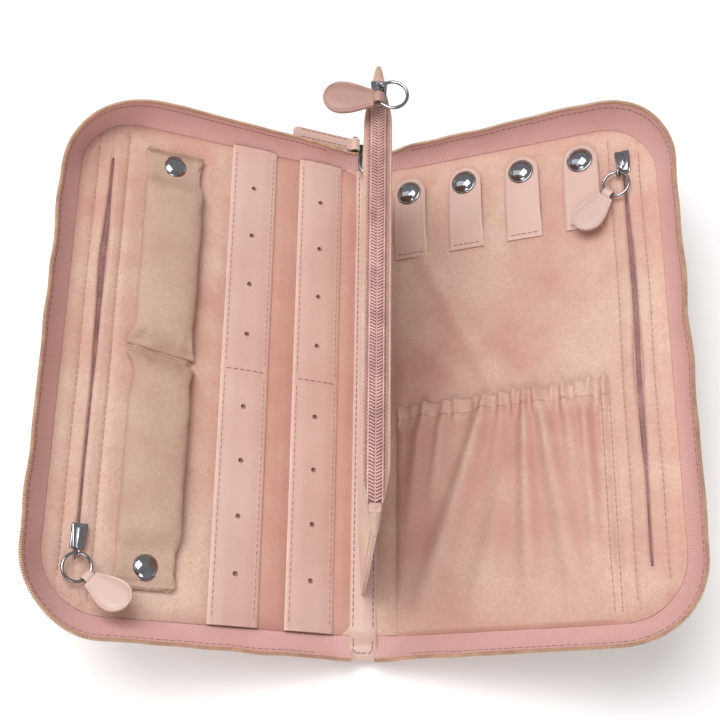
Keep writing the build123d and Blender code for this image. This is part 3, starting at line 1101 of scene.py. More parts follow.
@dataclass
class Snap:
    """A domed snap cap with a rolled rim."""

    radius: float = 6.2
    height: float = 3.1
    rim: float = 0.55

    def build(self, name: str) -> bpy.types.Object:
        """The cap, in millimetres, standing on its own origin."""
        deselect()
        bpy.ops.mesh.primitive_uv_sphere_add(segments=40, ring_count=24, radius=1)
        dome = bpy.context.active_object
        dome.scale = (self.radius - self.rim, self.radius - self.rim, self.height - self.rim)
        settle(dome)
        only(dome)
        bpy.ops.object.mode_set(mode="EDIT")
        bpy.ops.mesh.select_all(action="SELECT")
        bpy.ops.mesh.bisect(plane_co=(0, 0, 0), plane_no=(0, 0, 1), clear_inner=True, use_fill=True)
        bpy.ops.object.mode_set(mode="OBJECT")
        dome.data.transform(Matrix.Translation((0, 0, self.rim)))
        soften(dome, 60)
        lip = torus("lip", (0, 0, self.rim), UP, self.radius - self.rim, self.rim)
        skirt = rod("skirt", (0, 0, self.rim / 2), UP, self.radius - self.rim, self.rim, 40)
        return joined(name, [dome, lip, skirt])

    def place(self, name: str, node: str, cover: Place, body: str, finishes: Finishes) -> None:
        """Sets a cap where the frame has one.

        Args:
            name: The piece's name.
            node: The frame's cap.
            cover: The cover it is on.
            body: The body it rides on.
            finishes: The case's finishes.
        """
        low, high = extent(cover, node)
        cap = self.build(name)
        cap.data.transform(Matrix.Translation(((low.x + high.x) / 2, (low.y + high.y) / 2, low.z)))
        finish_piece(cover.carry(cap), finishes.metal, body, [node])


# ---- covers -------------------------------------------------------------------------------------


@dataclass(frozen=True)
class Outline:
    """A cover panel's outline: square at the hinge, with two rounded corners."""

    half: float
    outer: float
    corner: float

    def half_at(self, u: float) -> float:
        """Half the panel's length at u."""
        past = u - (self.outer - self.corner)
        if past <= 0:
            return self.half
        return self.half - self.corner + math.sqrt(max(0.0, self.corner**2 - past**2))

    def inset(self, u: float, y: float) -> float:
        """How far inside the outline a point is."""
        du, dy = u - (self.outer - self.corner), abs(y) - (self.half - self.corner)
        if du > 0 and dy > 0:
            return self.corner - math.hypot(du, dy)
        return min(self.outer - u, self.half - abs(y))

    def edge(self, past: float, start: float) -> EdgePath:
        """The line round the free sides, past the outline by that much."""
        corner = self.corner + past
        return EdgePath(self.outer + past, -self.half - past, self.half + past, corner, corner, start)

    def columns(self, start: float, step: float) -> list[float]:
        """Columns from start to the outer side, closer together round the corner."""
        straight = spaced(start, self.outer - self.corner, step)
        arc = [self.outer - self.corner + self.corner * math.sin(math.pi / 2 * k / 14) for k in range(1, 15)]
        return straight + arc


@dataclass
class PocketSlit:
    """The pocket zip's opening in the lining: where it runs and how far it gapes."""

    u: float
    end: float
    gapes: tuple[tuple[float, float, float], ...]
    closed: float = 0.9
    sway: float = 0.8
    seam_off: float = 7.0

    def gape(self, y: float) -> float:
        """The opening's width at y."""
        open_by = sum(wide * bump(y, at, length) for at, wide, length in self.gapes)
        return (self.closed + open_by) * (1 - smooth(abs(y), self.end - 6, self.end))

    def middle(self, y: float) -> float:
        """Where the opening's middle is at y."""
        return self.u + self.sway * ripple(y, 0, 3.0, 70) * (1 - smooth(abs(y), self.end - 12, self.end))


@dataclass
class Cover:
    """One cover: its lining, shell, zipper wall, coil and pocket zip."""

    place: CoverPlace
    finishes: Finishes
    thread: Thread
    slit: PocketSlit
    far_corner: float
    seed: float
    pressed: tuple[Press, ...]
    corner: float = 28.0
    rim: float = 1.6
    tray: float = 6.0
    wall_hinge: float = 10.4
    wall_slope: float = 3.0
    flare: float = 9.4
    flare_near: float = 10.0
    flare_far: float = 3.4
    inner: float = -7.0
    leather_start: float = -12.8
    puff: float = 0.9
    creases: tuple[Crease, ...] = ()

    def __post_init__(self) -> None:
        """Takes the lining's size from the frame."""
        self.name = self.place.side.name.lower()
        self.body = f"{self.name}_cover"
        _, high = extent(self.place, f"{self.name}_cover_lining")
        self.outline = Outline(high.y, high.x, self.corner)

    def turn(self, obj: bpy.types.Object) -> bpy.types.Object:
        """Turns the faces of a mirrored cover's piece the right way round."""
        return flip(obj) if self.place.side is Side.LEFT else obj

    def cross(self, obj: bpy.types.Object) -> bpy.types.Object:
        """Puts a sheet's place into its mesh; its bend between the spine and this cover is drawn in its
        points.
        """
        start = self.place.bent(self.place.bend_start, 0, 0)
        end = self.place.bent(self.place.bend_end, 0, 0)
        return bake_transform(obj)

    def height(self, u: float, y: float) -> float:
        """The lining's face over the cover, in millimetres."""
        inside = self.outline.inset(u, y)
        w = 0.25 - 1.3 * (1 - smooth(inside, 0.0, 3.5))
        soft = 0.55 * ripple(u, y, self.seed, 34) + 0.3 * ripple(u, y, self.seed + 4, 15)
        w += (soft + self.puff * 0.5) * smooth(inside, 2, 12)
        w += 0.9 * bump(u, 4.0, 4.0) * (1 + 0.4 * ripple(0, y, self.seed + 8, 18))
        for seam in (-self.slit.seam_off, self.slit.seam_off):
            w -= 0.75 * bump(u, self.slit.middle(y) + seam, 0.8) * smooth(self.outline.half - abs(y), 2, 6)
        for u0, u1, y0, y1, level in self.pressed:
            over = min(u - u0, u1 - u, y - y0, y1 - y)
            w = w + (min(w, level) - w) * smooth(over, -2.5, 0.0)
        w += self.crease(u, y)
        lip = abs(u - self.slit.middle(y))
        w += 0.35 * bump(lip, 2.0, 1.6)
        return w - 1.5 * (1 - smooth(u, self.inner, self.inner + 4))

    def crease(self, u: float, y: float) -> float:
        """The height of the soft creases that cross the lining at a point."""
        total = 0.0
        for u0, y0, u1, y1, high, wide in self.creases:
            du, dy = u1 - u0, y1 - y0
            t = min(1.0, max(0.0, ((u - u0) * du + (y - y0) * dy) / (du * du + dy * dy)))
            total += high * bump(math.hypot(u - u0 - t * du, y - y0 - t * dy), 0, wide)
        return total

    def build_lining(self) -> None:
        """The suede lining, slit along the pocket zip, running on to the spine strip."""
        slit = self.slit
        columns = [c for c in self.outline.columns(self.inner, 2.2) if abs(c - slit.u) > 8.4]
        offsets = (-7.8, -7.4, -7.0, -6.6, -6.2, -4.8, -3.4, -2.4, -1.6, -1.0, 0.0)
        columns += [slit.u + o for o in offsets] + [slit.u - o for o in offsets[:-1]] + [slit.u + 0.001]
        columns.sort()
        turns = spaced(-1, 1, 2 / 118)

        def at(i: int, j: int) -> Point:
            """A point of the lining."""
            u = columns[i]
            y = turns[j] * self.outline.half_at(u)
            off = u - slit.u
            w = self.height(u, y)
            if abs(off) < 8:
                near = 1 - smooth(abs(off), 1.0, 7.5)
                way = -1 if off <= 0 else 1
                u += (slit.middle(y) - slit.u) * near + way * slit.gape(y) / 2 * near
                if abs(off) < 0.5:
                    w, u = w - 1.4 * min(1.0, slit.gape(y)), u + way * 0.1
            return self.place.bent(u, y, w)

        obj = grid_piece(f"{self.name}_lining", columns, [t * self.outline.half for t in turns], at)
        # Painted shade: the left lining darkens near the hinge, where the divider shades it, the right one
        # faintly, and on the right lining each crease's side that faces the hinge darkens.
        shaded = 0.6 if self.place.side is Side.LEFT else 0.1
        paint_shade(obj, [
            shaded * (1 - smooth(u, 30, 66)) + 0.25 * (self.crease(u + 3, t * 118) - self.crease(u, t * 118))
            for u in columns for t in turns
        ])
        middle = min(i for i, u in enumerate(columns) if abs(u - slit.u) < 0.01)
        rows, reach = len(turns) - 1, self.outline.half_at(slit.u)
        drop_faces(obj, [middle * rows + j for j in range(rows) if abs(turns[j] * reach) < slit.end - 4])
        self.turn(obj)
        thicken(obj, 0.7 * MM)
        finish_piece(obj, self.finishes.suede, None, [f"{self.name}_cover_lining"])
        self.cross(obj)
        for way in (-1, 1):
            ys = spaced(-self.outline.half_at(slit.u + way * slit.seam_off) + 3, self.outline.half - 5, 3)
            ys = [y for y in ys if abs(y) < self.outline.half_at(slit.u + way * slit.seam_off) - 3]
            us = [slit.middle(y) + way * slit.seam_off for y in ys]
            path = [self.place.point(u, y, self.height(u, y) + 0.1) for u, y in zip(us, ys)]
            self.thread.sew(self.body, path, self.place.z, 2.9, True)

    def build_shell(self) -> None:
        """The outer leather: a soft panel outside and a turned edge round it."""
        grow = self.rim - 0.9
        out = Outline(self.outline.half + grow, self.outline.outer + grow, self.corner + grow)
        columns = out.columns(self.leather_start, 3.0)
        turns = spaced(-1, 1, 2 / 90)

        def at(i: int, j: int) -> Point:
            """A point of the outside panel."""
            u = columns[i]
            y = turns[j] * out.half_at(u)
            inside = out.inset(u, y)
            w = -self.tray + 0.9 - 0.95 * smooth(inside, 0, 5) + 0.12 * ripple(u, y, self.seed + 2, 30)
            w += 0.45 * bump(inside, 4.6, 0.8)
            return self.place.bent(u, y, w)

        panel = grid_piece(f"{self.name}_outer_leather", columns, [t * out.half for t in turns], at)
        if self.place.side is Side.RIGHT:
            flip(panel)
        thicken(panel, 1.1 * MM)
        finish_piece(panel, self.finishes.leather, None, [f"{self.name}_cover_leather"])
        self.cross(panel)
        profile = (
            (-1.6, -2.2), (0.1, -1.4), (0.6, -1.0), (1.1, -0.9), (1.6, -1.2), (1.8, -2.6), (1.5, -4.4),
            (0.7, -5.4), (-0.8, -5.5),
        )
        self.band(f"{self.name}_turned_edge", profile, self.finishes.leather, self.leather_start)
        stitch_line = EdgePath(
            out.outer - 4.6, -out.half + 4.6, out.half - 4.6, self.corner - 4, self.corner - 4, 8.0
        ).points(40, 12, 70)
        path = [self.place.point(p.x, p.y, -self.tray - 0.02) for p, _ in stitch_line]
        self.thread.sew(self.body, path, -self.place.z, 3.4)

    def band(self, name: str, profile: Sequence[tuple[float, float]], dress: Dress, start: float) -> None:
        """A strip of leather round the free sides, following a profile.

        Args:
            name: The piece's name.
            profile: Pairs of how far past the lining's outline, and how high.
            dress: Its finish.
            start: Where it starts, counted from the hinge.
        """
        rings = [self.outline.edge(past, start).points(48, 12, 70) for past, _ in profile]
        count = len(rings[0])

        def at(i: int, j: int) -> Point:
            """A point of the strip."""
            spot = rings[j][i][0]
            return self.place.bent(spot.x, spot.y, profile[j][1])

        obj = grid_piece(name, [2.4 * i for i in range(count)], [h for _, h in profile], at)
        if self.place.side is Side.RIGHT:
            flip(obj)
        thicken(obj, 0.5 * MM)
        finish_piece(obj, dress, None)
        self.cross(obj)

    def wall_top(self, u: float) -> float:
        """The zipper wall's height over the lining at u, sinking a little where it meets the spine."""
        level = self.wall_hinge + u * math.tan(math.radians(self.wall_slope))
        return level * (0.72 + 0.28 * smooth(u, -7, 14))

    def wall_lines(self) -> tuple[list[tuple[Vector, Vector]], list[tuple[Vector, Vector]]]:
        """The wall's foot and top lines, point for point."""
        o, start, rim = self.outline, self.inner - 1, self.rim
        near, far = -o.half - rim - self.flare_near, o.half + rim + self.flare_far
        top = EdgePath(o.outer + rim + self.flare, near, far, o.corner + 8.0, self.far_corner, start)
        return o.edge(0.6, start).points(56, 20, 80), top.points(56, 20, 80)

    def wall_point(self, i: int, t: float) -> Vector:
        """A point of the wall, t of the way up from its foot."""
        (f, way), (p, _) = self.foot_line[i], self.top_line[i]
        spot = f.lerp(p, t ** 0.9)
        lean = 0.9 * ripple(i, 0, self.seed + 6, 9) * t + 0.8 * math.sin(math.pi * t)
        spot = spot + way * (lean if spot.x > 6 else lean * 0.3)
        w = -1.0 + t * (self.wall_top(spot.x) + 1.0) + 0.35 * ripple(i, 5, self.seed, 14) * t
        return self.place.bent(spot.x, spot.y, w)

    def build_wall(self) -> None:
        """The woven zipper tape standing round the cover, with its coil along the top."""
        self.foot_line, self.top_line = self.wall_lines()
        count = len(self.foot_line)
        levels = (0.0, 0.08, 0.2, 0.35, 0.5, 0.65, 0.78, 0.84, 0.9, 1.0)
        rows = [v * 16 for v in levels]
        lengths = [0.0]
        for i in range(1, count):
            lengths.append(lengths[-1] + (self.wall_point(i, 1) - self.wall_point(i - 1, 1)).length / MM)
        obj = grid_piece(f"{self.name}_tape", lengths, rows, lambda i, j: self.wall_point(i, levels[j]))
        self.turn(obj)
        thicken(obj, 0.8 * MM, offset=0)
        finish_piece(obj, self.finishes.tape, None, [f"{self.name}_zip_tape"])
        self.cross(obj)

        unit = link((0.42, 0.85, 0.6), 0.24, 0.3)
        path = [self.wall_point(i, 1.0) for i in range(count)]
        ups = [(self.wall_point(i, 1.0) - self.wall_point(i, 0.8)).normalized() for i in range(count)]
        path = [p + up * 0.55 * MM for p, up in zip(path, ups)]
        coil = copies(f"{self.name}_coil", unit, along(path, ups, COIL_PITCH * MM))
        finish_piece(coil, self.finishes.coil, None, [f"{self.name}_zip_teeth"])
        self.cross(coil)

        inner = self.place.side.value
        keep = [i for i in range(count) if self.top_line[i][0].x > 9]
        row = []
        for i in keep:
            inward = self.wall_point(i, 0.8) - self.wall_point(i, 0.7)
            a = self.wall_point(min(i + 1, count - 1), 0.8) - self.wall_point(i - 1, 0.8)
            row.append((self.wall_point(i, 0.8), (inward.cross(a) * inner).normalized()))
        for way in (-1, 1):
            lifted = [p + n * way * 0.45 * MM for p, n in row]
            self.thread.sew(self.body, lifted, [n * way for _, n in row], 3.0)

    def build_pocket_zip(self) -> None:
        """The pocket zip behind the slit: a narrow tape and its coil."""
        slit = self.slit
        low, high = extent(self.place, f"{self.name}_pocket_zip")
        ys = spaced(low.y + 1, high.y - 1, 4)
        columns = mirrored((0.0, 1.6, 3.0, 4.6))

        def at(i: int, j: int) -> Point:
            """A point of the tape."""
            return self.place.point(slit.middle(ys[j]) + columns[i], ys[j], -1.95 + 0.05 * columns[i] ** 2)

        tape = grid_piece(f"{self.name}_pocket_tape", columns, ys, at)
        self.turn(tape)
        modify(tape, "SOLIDIFY", thickness=0.4 * MM, offset=-1)
        finish_piece(tape, self.finishes.dark_tape, self.body, [f"{self.name}_pocket_zip"])
        unit = link((0.36, 1.3, 0.4), 0.22, 0.25)
        path = [self.place.point(slit.middle(y), y, -1.25) for y in ys]
        coil = copies(f"{self.name}_pocket_coil", unit, along(path, self.place.z, COIL_PITCH * MM))
        finish_piece(coil, self.finishes.dark_coil, self.body)

    def build(self) -> None:
        """Builds everything that both covers have."""
        self.build_lining()
        self.build_shell()
        self.build_wall()
        self.build_pocket_zip()


def drop_faces(obj: bpy.types.Object, numbers: Sequence[int]) -> None:
    """Deletes some faces of a piece.

    Args:
        obj: The piece.
        numbers: The faces' numbers.
    """
    only(obj)
    for part in (*obj.data.polygons, *obj.data.edges, *obj.data.vertices):
        part.select = False
    for number in numbers:
        obj.data.polygons[number].select = True
    bpy.ops.object.mode_set(mode="EDIT")
    bpy.ops.mesh.select_mode(type="FACE")
    bpy.ops.mesh.delete(type="FACE")
    bpy.ops.object.mode_set(mode="OBJECT")


@dataclass
class LeatherStrip:
    """A flat leather strip sewn along both long edges."""

    low: Vector
    high: Vector
    holes: tuple[float, ...] = ()
    seam: bool = False
    seam_in: float = 1.9
    thick: float = 1.3
    columns: int = 20

    def height(self, u: float, y: float) -> float:
        """The strip's face over its frame, in millimetres."""
        side = min(u - self.low.x, self.high.x - u)
        w = self.high.z + 0.12 - 0.7 * (1 - smooth(side, -0.2, 1.1))
        w += 0.35 * smooth(side, 2.4, 7.0) - 0.35 * bump(side, self.seam_in, 0.45)
        w += 0.16 * ripple(u, y, self.low.x, 26)
        if self.seam:
            w -= 0.45 * bump(y, 0.0, 0.7)
        return w

    def build(self, name: str, place: Place) -> bpy.types.Object:
        """The strip, in metres.

        Args:
            name: The piece's name.
            place: The frame it is drawn in.

        Returns:
            The strip.
        """
        us = spaced(self.low.x, self.high.x, (self.high.x - self.low.x) / self.columns)
        ys = spaced(self.low.y, self.high.y, 1.9)
        obj = grid_piece(name, us, ys, lambda i, j: (us[i], ys[j], self.height(us[i], ys[j])))
        modify(obj, "SOLIDIFY", thickness=self.thick, offset=-1)
        if self.holes:
            middle = (self.low.x + self.high.x) / 2
            cutters = [rod("punch", (middle, y, self.high.z), UP, 1.25, 8, 16) for y in self.holes]
            cut(obj, cutters)
        soften(obj, 50)
        return place.carry(obj)

    def sew(self, thread: Thread, body: str, place: Place) -> None:
        """Sews the strip's edges, and its cross seam if it has one."""
        ys = spaced(self.low.y + 1, self.high.y - 1, 4)
        for u in (self.low.x + self.seam_in, self.high.x - self.seam_in):
            path = [place.point(u, y, self.height(u, y) + 0.12) for y in ys]
            thread.sew(body, path, place.z)
        if self.seam:
            us = spaced(self.low.x + 0.6, self.high.x - 0.6, 3)
            path = [place.point(u, 0, self.height(u, 0) + 0.12) for u in us]
            thread.sew(body, path, place.z)


@dataclass
class RingRoll:
    """The padded roll that rings are threaded on: two halves that open from a middle seam."""

    cover: Cover
    finishes: Finishes
    thread: Thread
    around: int = 44
    along: int = 74
    seam_flare: float = 1.4
    tongue: float = 17.0
    swell: float = 1.2
    slant: float = 2.4
    scale: float = 10.0

    def half(self, name: str, node: str, way: int) -> None:
        """One half of the roll.

        Args:
            name: The piece's name.
            node: The frame's pad, and its body's name.
            way: 1 for the far half, -1 for the near one.
        """
        place = self.cover.place
        low, high = extent(place, node)
        start, end = (low.y - 0.6, high.y) if way > 0 else (-high.y - 0.6, -low.y)
        middle, wide = (low.x + high.x) / 2, (high.x - low.x) / 2
        points = []
        for j in range(self.along + 1):
            y = start + (end - start) * j / self.along
            from_seam, to_end = y - start, end - y
            full = smooth(from_seam, -2, 11) * smooth(to_end, self.tongue - 3, self.tongue + 9)
            thick = 2.6 + (high.z - low.z - 2.6) * full
            flat = 0.45 + 0.4 * full
            a = wide - 0.4 - 0.9 * bump(from_seam, 12, 9) + self.seam_flare * bump(from_seam, 0, 5)
            a -= 0.8 * bump(to_end, 13, 6)
            a -= 1.2 * (1 - smooth(to_end, 0, 1.5)) + 0.5 * ripple(y, 0, 11.0 * way, 18)
            lift = 0.35 + 0.25 * (1 - full)
            for k in range(self.around):
                angle = 2 * math.pi * k / self.around
                c, s = math.cos(angle), math.sin(angle)
                x = a * math.copysign(abs(c) ** flat, c)
                w = lift + thick / 2 + thick / 2 * math.copysign(abs(s) ** flat, s)
                if s > 0:
                    pleat = math.cos(2 * math.pi * x / 6.5 + 1.3 * way)
                    tuck = math.cos(x / 2.1)
                    w += s * 0.45 * pleat * bump(from_seam, 5, 4) + s * 0.4 * tuck * bump(to_end, 19, 4)
                    w += s * 0.35 * ripple(x, y, 20.0 + way, 9)
                points.append((middle + x, way * y + self.slant * x / wide * bump(from_seam, 0, 13), w))
        obj = tube_piece(name, points, self.around)
        self.inflate(obj, low.z)
        modify(obj, "SUBSURF", levels=1, render_levels=1)
        soften(obj, 70)
        place.carry(obj)
        finish_piece(obj, self.finishes.roll, node.removesuffix("_pad"), [node])

    def inflate(self, obj: bpy.types.Object, floor: float) -> None:
        """Fills the pad with cloth simulation, held at its ends and its underside.

        Args:
            obj: The pad, in millimetres.
            floor: The height it may not sink below.
        """
        before = np.array([v.co for v in obj.data.vertices])
        ends = before[:, 1].min(), before[:, 1].max()
        held = obj.vertex_groups.new(name="held")
        for v in obj.data.vertices:
            near = min(abs(v.co.y - ends[0]), abs(v.co.y - ends[1]))
            if v.co.z < floor + 0.5 or near < 3:
                held.add([v.index], 1.0, "REPLACE")
        shrink = self.scale * MM
        obj.data.transform(Matrix.Scale(shrink, 4))
        only(obj)
        cloth = obj.modifiers.new("filling", "CLOTH")
        cloth.settings.quality = 6
        cloth.settings.use_pressure = True
        cloth.settings.uniform_pressure_force = 4.0
        cloth.settings.effector_weights.gravity = 0
        cloth.settings.tension_stiffness = 12
        cloth.settings.compression_stiffness = 12
        cloth.settings.bending_stiffness = 0.3
        cloth.settings.shrink_min = -0.05
        cloth.settings.vertex_group_mass = "held"
        scene = bpy.context.scene
        for step in range(1, 21):
            scene.frame_set(step)
        bpy.ops.object.modifier_apply(modifier=cloth.name)
        scene.frame_set(1)
        after = np.array([v.co for v in obj.data.vertices]) / shrink
        moved = after - before
        far = np.linalg.norm(moved, axis=1, keepdims=True)
        after = before + moved * np.minimum(1.0, self.swell / np.maximum(far, 1e-9))
        after[:, 2] = np.maximum(after[:, 2], floor)
        obj.data.vertices.foreach_set("co", after.ravel())
        obj.vertex_groups.clear()
        obj.data.update()

    def seam(self) -> None:
        """The pinched seam between the halves."""
        place = self.cover.place
        low, high = extent(place, "ring_roll_seam")
        us = spaced(low.x - self.seam_flare, high.x + self.seam_flare, 0.7)
        ys = spaced(low.y - 0.3, high.y + 0.3, 0.4)

        def at(i: int, j: int) -> Point:
            """A point of the pinched cloth."""
            side = min(us[i] - us[0], us[-1] - us[i])
            w = high.z * (0.35 + 0.5 * smooth(side, 0, 3)) - 1.1 * bump(ys[j], 0, 0.7)
            x = us[i] - (us[0] + us[-1]) / 2
            return us[i], ys[j] + self.slant * x / (us[-1] - us[0]) * 2, w

        obj = grid_piece("ring_roll_pinch", us, ys, at)
        thicken(obj, 1.0)
        finish_piece(place.carry(obj), self.finishes.roll, self.cover.body, ["ring_roll_seam"])

    def build(self) -> None:
        """Builds the roll and its snaps."""
        for way, body in ((1, "ring_roll_far"), (-1, "ring_roll_near")):
            self.half(f"{body}_half", f"{body}_pad", way)
            Snap().place(f"{body}_snap", f"{body}_cap", self.cover.place, body, self.finishes)
            self.hem(body, way)
        self.seam()

    def hem(self, body: str, way: int) -> None:
        """The looping thread over the far end, or the frayed hem at the near end."""
        place = self.cover.place
        low, high = extent(place, f"{body}_pad")
        y = high.y - 1.6 if way > 0 else low.y + 1.0
        us = spaced(low.x + 1.5, high.x - 1.5, 0.35)
        if way > 0:
            loops = [(u, 0.9 * math.sin(4.4 * u), 0.9 * math.cos(4.4 * u)) for u in us]
            path = [place.point(u + du, y + dy, 3.5 + 0.2 * math.sin(2.2 * u)) for u, du, dy in loops]
            self.thread.sew(body, path, place.z, 1.5, True)
            return
        for k in range(3):
            edge = [y + 0.6 * k * way + 0.5 * ripple(u, k, 31, 2.4) for u in us]
            path = [place.point(u, v, 2.5 + 0.5 * ripple(u, k, 33, 2)) for u, v in zip(us, edge)]
            self.thread.sew(body, path, place.z, 1.7, True)


@dataclass
class LeftCover(Cover):
    """The left cover, with two earring strips and the ring roll."""

    first_hole: float = 18.0
    last_hole_in: float = 22.6
    holes_a_side: int = 4

    def build(self) -> None:
        """Builds the left cover."""
        super().build()
        for which in ("inner", "outer"):
            low, high = extent(self.place, f"earring_strip_{which}")
            strip = LeatherStrip(low, high, self.holes(high.y), True)
            obj = strip.build(f"earring_strip_{which}_leather", self.place)
            finish_piece(obj, self.finishes.leather, self.body, [f"earring_strip_{which}"])
            strip.sew(self.thread, self.body, self.place)
        RingRoll(self, self.finishes, self.thread).build()

    def holes(self, end: float) -> tuple[float, ...]:
        """Where the post holes are along a strip that ends there."""
        step = (end - self.last_hole_in - self.first_hole) / (self.holes_a_side - 1)
        return tuple(way * (self.first_hole + step * k) for way in (-1, 1) for k in range(self.holes_a_side))


@dataclass(frozen=True)
class Fold:
    """One fold of the gathered pocket, from its hem down to its foot, as shares of the width."""

    top: float
    foot: float
    high: float
    sharp: float = 3.2
    broad: float = 8.0
    start: float = 0.0
    end: float = 1.0

    def height(self, u: float, down: float, wide: float) -> float:
        """The fold's height at u, down of the way from the hem to the foot."""
        path = self.top + (self.foot - self.top) * down ** 1.15
        width = self.sharp + (self.broad - self.sharp) * down
        fade = smooth(down, self.start - 0.05, self.start + 0.08)
        fade *= 1 - smooth(down, self.end - 0.3, self.end)
        return self.high * fade * bump(u, path * wide, width)


@dataclass
class GatheredPocket:
    """The open pocket: cloth gathered on elastic at its hem and sewn down on three sides."""

    cover: Cover
    finishes: Finishes
    thread: Thread
    hem: float = 7.0
    thick: float = 0.7
    folds: tuple[Fold, ...] = (
        Fold(0.04, -0.05, 1.3, 3.5, 9.0), Fold(0.14, 0.02, 1.7, 3.0, 8.0, end=0.95),
        Fold(0.235, 0.12, 1.3, 2.4, 6.0, end=0.6), Fold(0.44, 0.10, 2.6, 3.4, 9.0, end=1.1),
        Fold(0.52, 0.33, 1.0, 3.0, 6.0, end=0.55), Fold(0.60, 0.36, 1.5, 3.4, 8.0, 0.3, 1.05),
        Fold(0.615, 0.615, 2.2, 2.4, 6.5, end=1.0), Fold(0.68, 0.84, 2.4, 2.8, 8.5, end=1.05),
        Fold(0.80, 0.86, 1.7, 2.6, 6.0, end=0.6), Fold(0.87, 0.915, 1.7, 2.2, 5.0, end=0.95),
        Fold(0.95, 0.955, 1.2, 2.0, 3.0, end=1.0),
    )
    ruffles: tuple[tuple[float, float], ...] = (
        (0.015, 1.2), (0.085, 0.5), (0.15, 0.9), (0.245, 0.45), (0.29, 0.8), (0.385, 0.5), (0.43, 0.75),
        (0.505, 0.9), (0.565, 1.25), (0.615, 0.8), (0.66, 1.3), (0.735, 1.0), (0.785, 1.3), (0.845, 0.9),
        (0.90, 1.2), (0.965, 1.4),
    )

    def build(self) -> None:
        """Builds the pocket, its ruffled hem and its side seams."""
        place = self.cover.place
        low, high = extent(place, "gathered_pocket")
        _, hem_high = extent(place, "pocket_elastic")
        left, right, foot, top = low.x, high.x, low.y, hem_high.y
        wide, tall, bulge = right - left, top - foot, hem_high.z

        def face(u: float, y: float) -> float:
            """The cloth's height over the lining."""
            down = min(1.0, (top - y) / tall)
            side = min(u, wide - u)
            arch = smooth(side, -1.0, 13.0) * (0.62 + 0.38 * math.sin(math.pi * u / wide))
            belly = 0.40 + 0.22 * smooth(down, 0.05, 0.4) - 0.5 * smooth(down, 0.62, 1.0)
            w = 1.0 + (bulge - 3.0) * arch * belly
            fold = 2.1 * sum(f.height(u, down, wide) for f in self.folds)
            w += fold * (0.75 + 0.25 * arch) * (1 - 0.75 * smooth(down, 0.9, 1.0)) * smooth(side, -0.5, 3)
            w += 0.45 * ripple(u, y, 41, 13) * smooth(down, 0.05, 0.2) * smooth(side, 0, 4)
            near_hem = 1 - smooth((top - y), self.hem - 1, self.hem + 9)
            ruff = sum(high * bump(u, r * wide, 1.7) for r, high in self.ruffles)
            w += near_hem * (2.8 * ruff - 1.0) * smooth(side, 0, 2)
            w -= 1.0 * bump(top - y, self.hem, 0.9) * (0.6 + 0.4 * ruff)
            w -= 0.9 * smooth(down, 0.985, 1.0) + 0.4 * bump(side, 2.6, 0.7) * smooth(down, 0.08, 0.12)
            return max(w, 0.5) - 1.3 * (1 - smooth(min(side, (y - foot)), -0.8, 1.2))

        us, ys = spaced(0, wide + 0.8, 0.85), spaced(foot - 0.7, top, 1.0)

        def at(i: int, j: int) -> Point:
            """A point of the pocket."""
            u, y = us[i], ys[j]
            rise = 1 - smooth(top - y, 0, self.hem + 4)
            lip = 1.1 * sum(high * bump(u, r * wide, 1.6) for r, high in self.ruffles) - 0.5
            pull = 2.2 * smooth(u / wide, 0.75, 1.0)
            return left + u, y + rise * (lip + pull), face(u, y)

        obj = grid_piece("gathered_pocket_cloth", us, ys, at)
        # Painted shade from the folds, with paler crests.
        paint_shade(obj, [self.depth(u, (top - y) / tall, wide) for u in us for y in ys])
        modify(obj, "SOLIDIFY", thickness=self.thick, offset=-1)
        modify(obj, "SUBSURF", levels=1, render_levels=1)
        soften(obj, 70)
        place.carry(obj)
        finish_piece(obj, self.finishes.suede, self.cover.body, ["gathered_pocket", "pocket_elastic"])
        for off in (1.8, 5.0):
            line = spaced(foot + 2, top - 2, 2.5)
            path = [place.point(right - off, y, face(wide - off, y) + 0.1) for y in line]
            self.thread.sew(self.cover.body, path, place.z, 2.9, True)
        line = spaced(0.6, wide - 0.6, 0.8)
        path = [place.point(left + u, top - self.hem, face(u, top - self.hem) + 0.1) for u in line]
        self.thread.sew(self.cover.body, path, place.z, 2.4, True)

    def depth(self, u: float, down: float, wide: float) -> float:
        """How much painted shade darkens the cloth: dark in the hollows and on one side of each fold, pale on
        the folds' crests, with some random mottling.
        """
        fold = sum(f.height(u, down, wide) for f in self.folds)
        side = sum(f.height(u - 2.5, down, wide) for f in self.folds)
        deep = 0.45 - 0.30 * fold + 0.26 * side + 0.3 * ripple(u, down * 100, 44, 22)
        deep *= smooth(down, 0.03, 0.16) * (1 - 0.65 * smooth(down, 0.62, 0.95))
        return deep * smooth(wide - u, 3, 10)


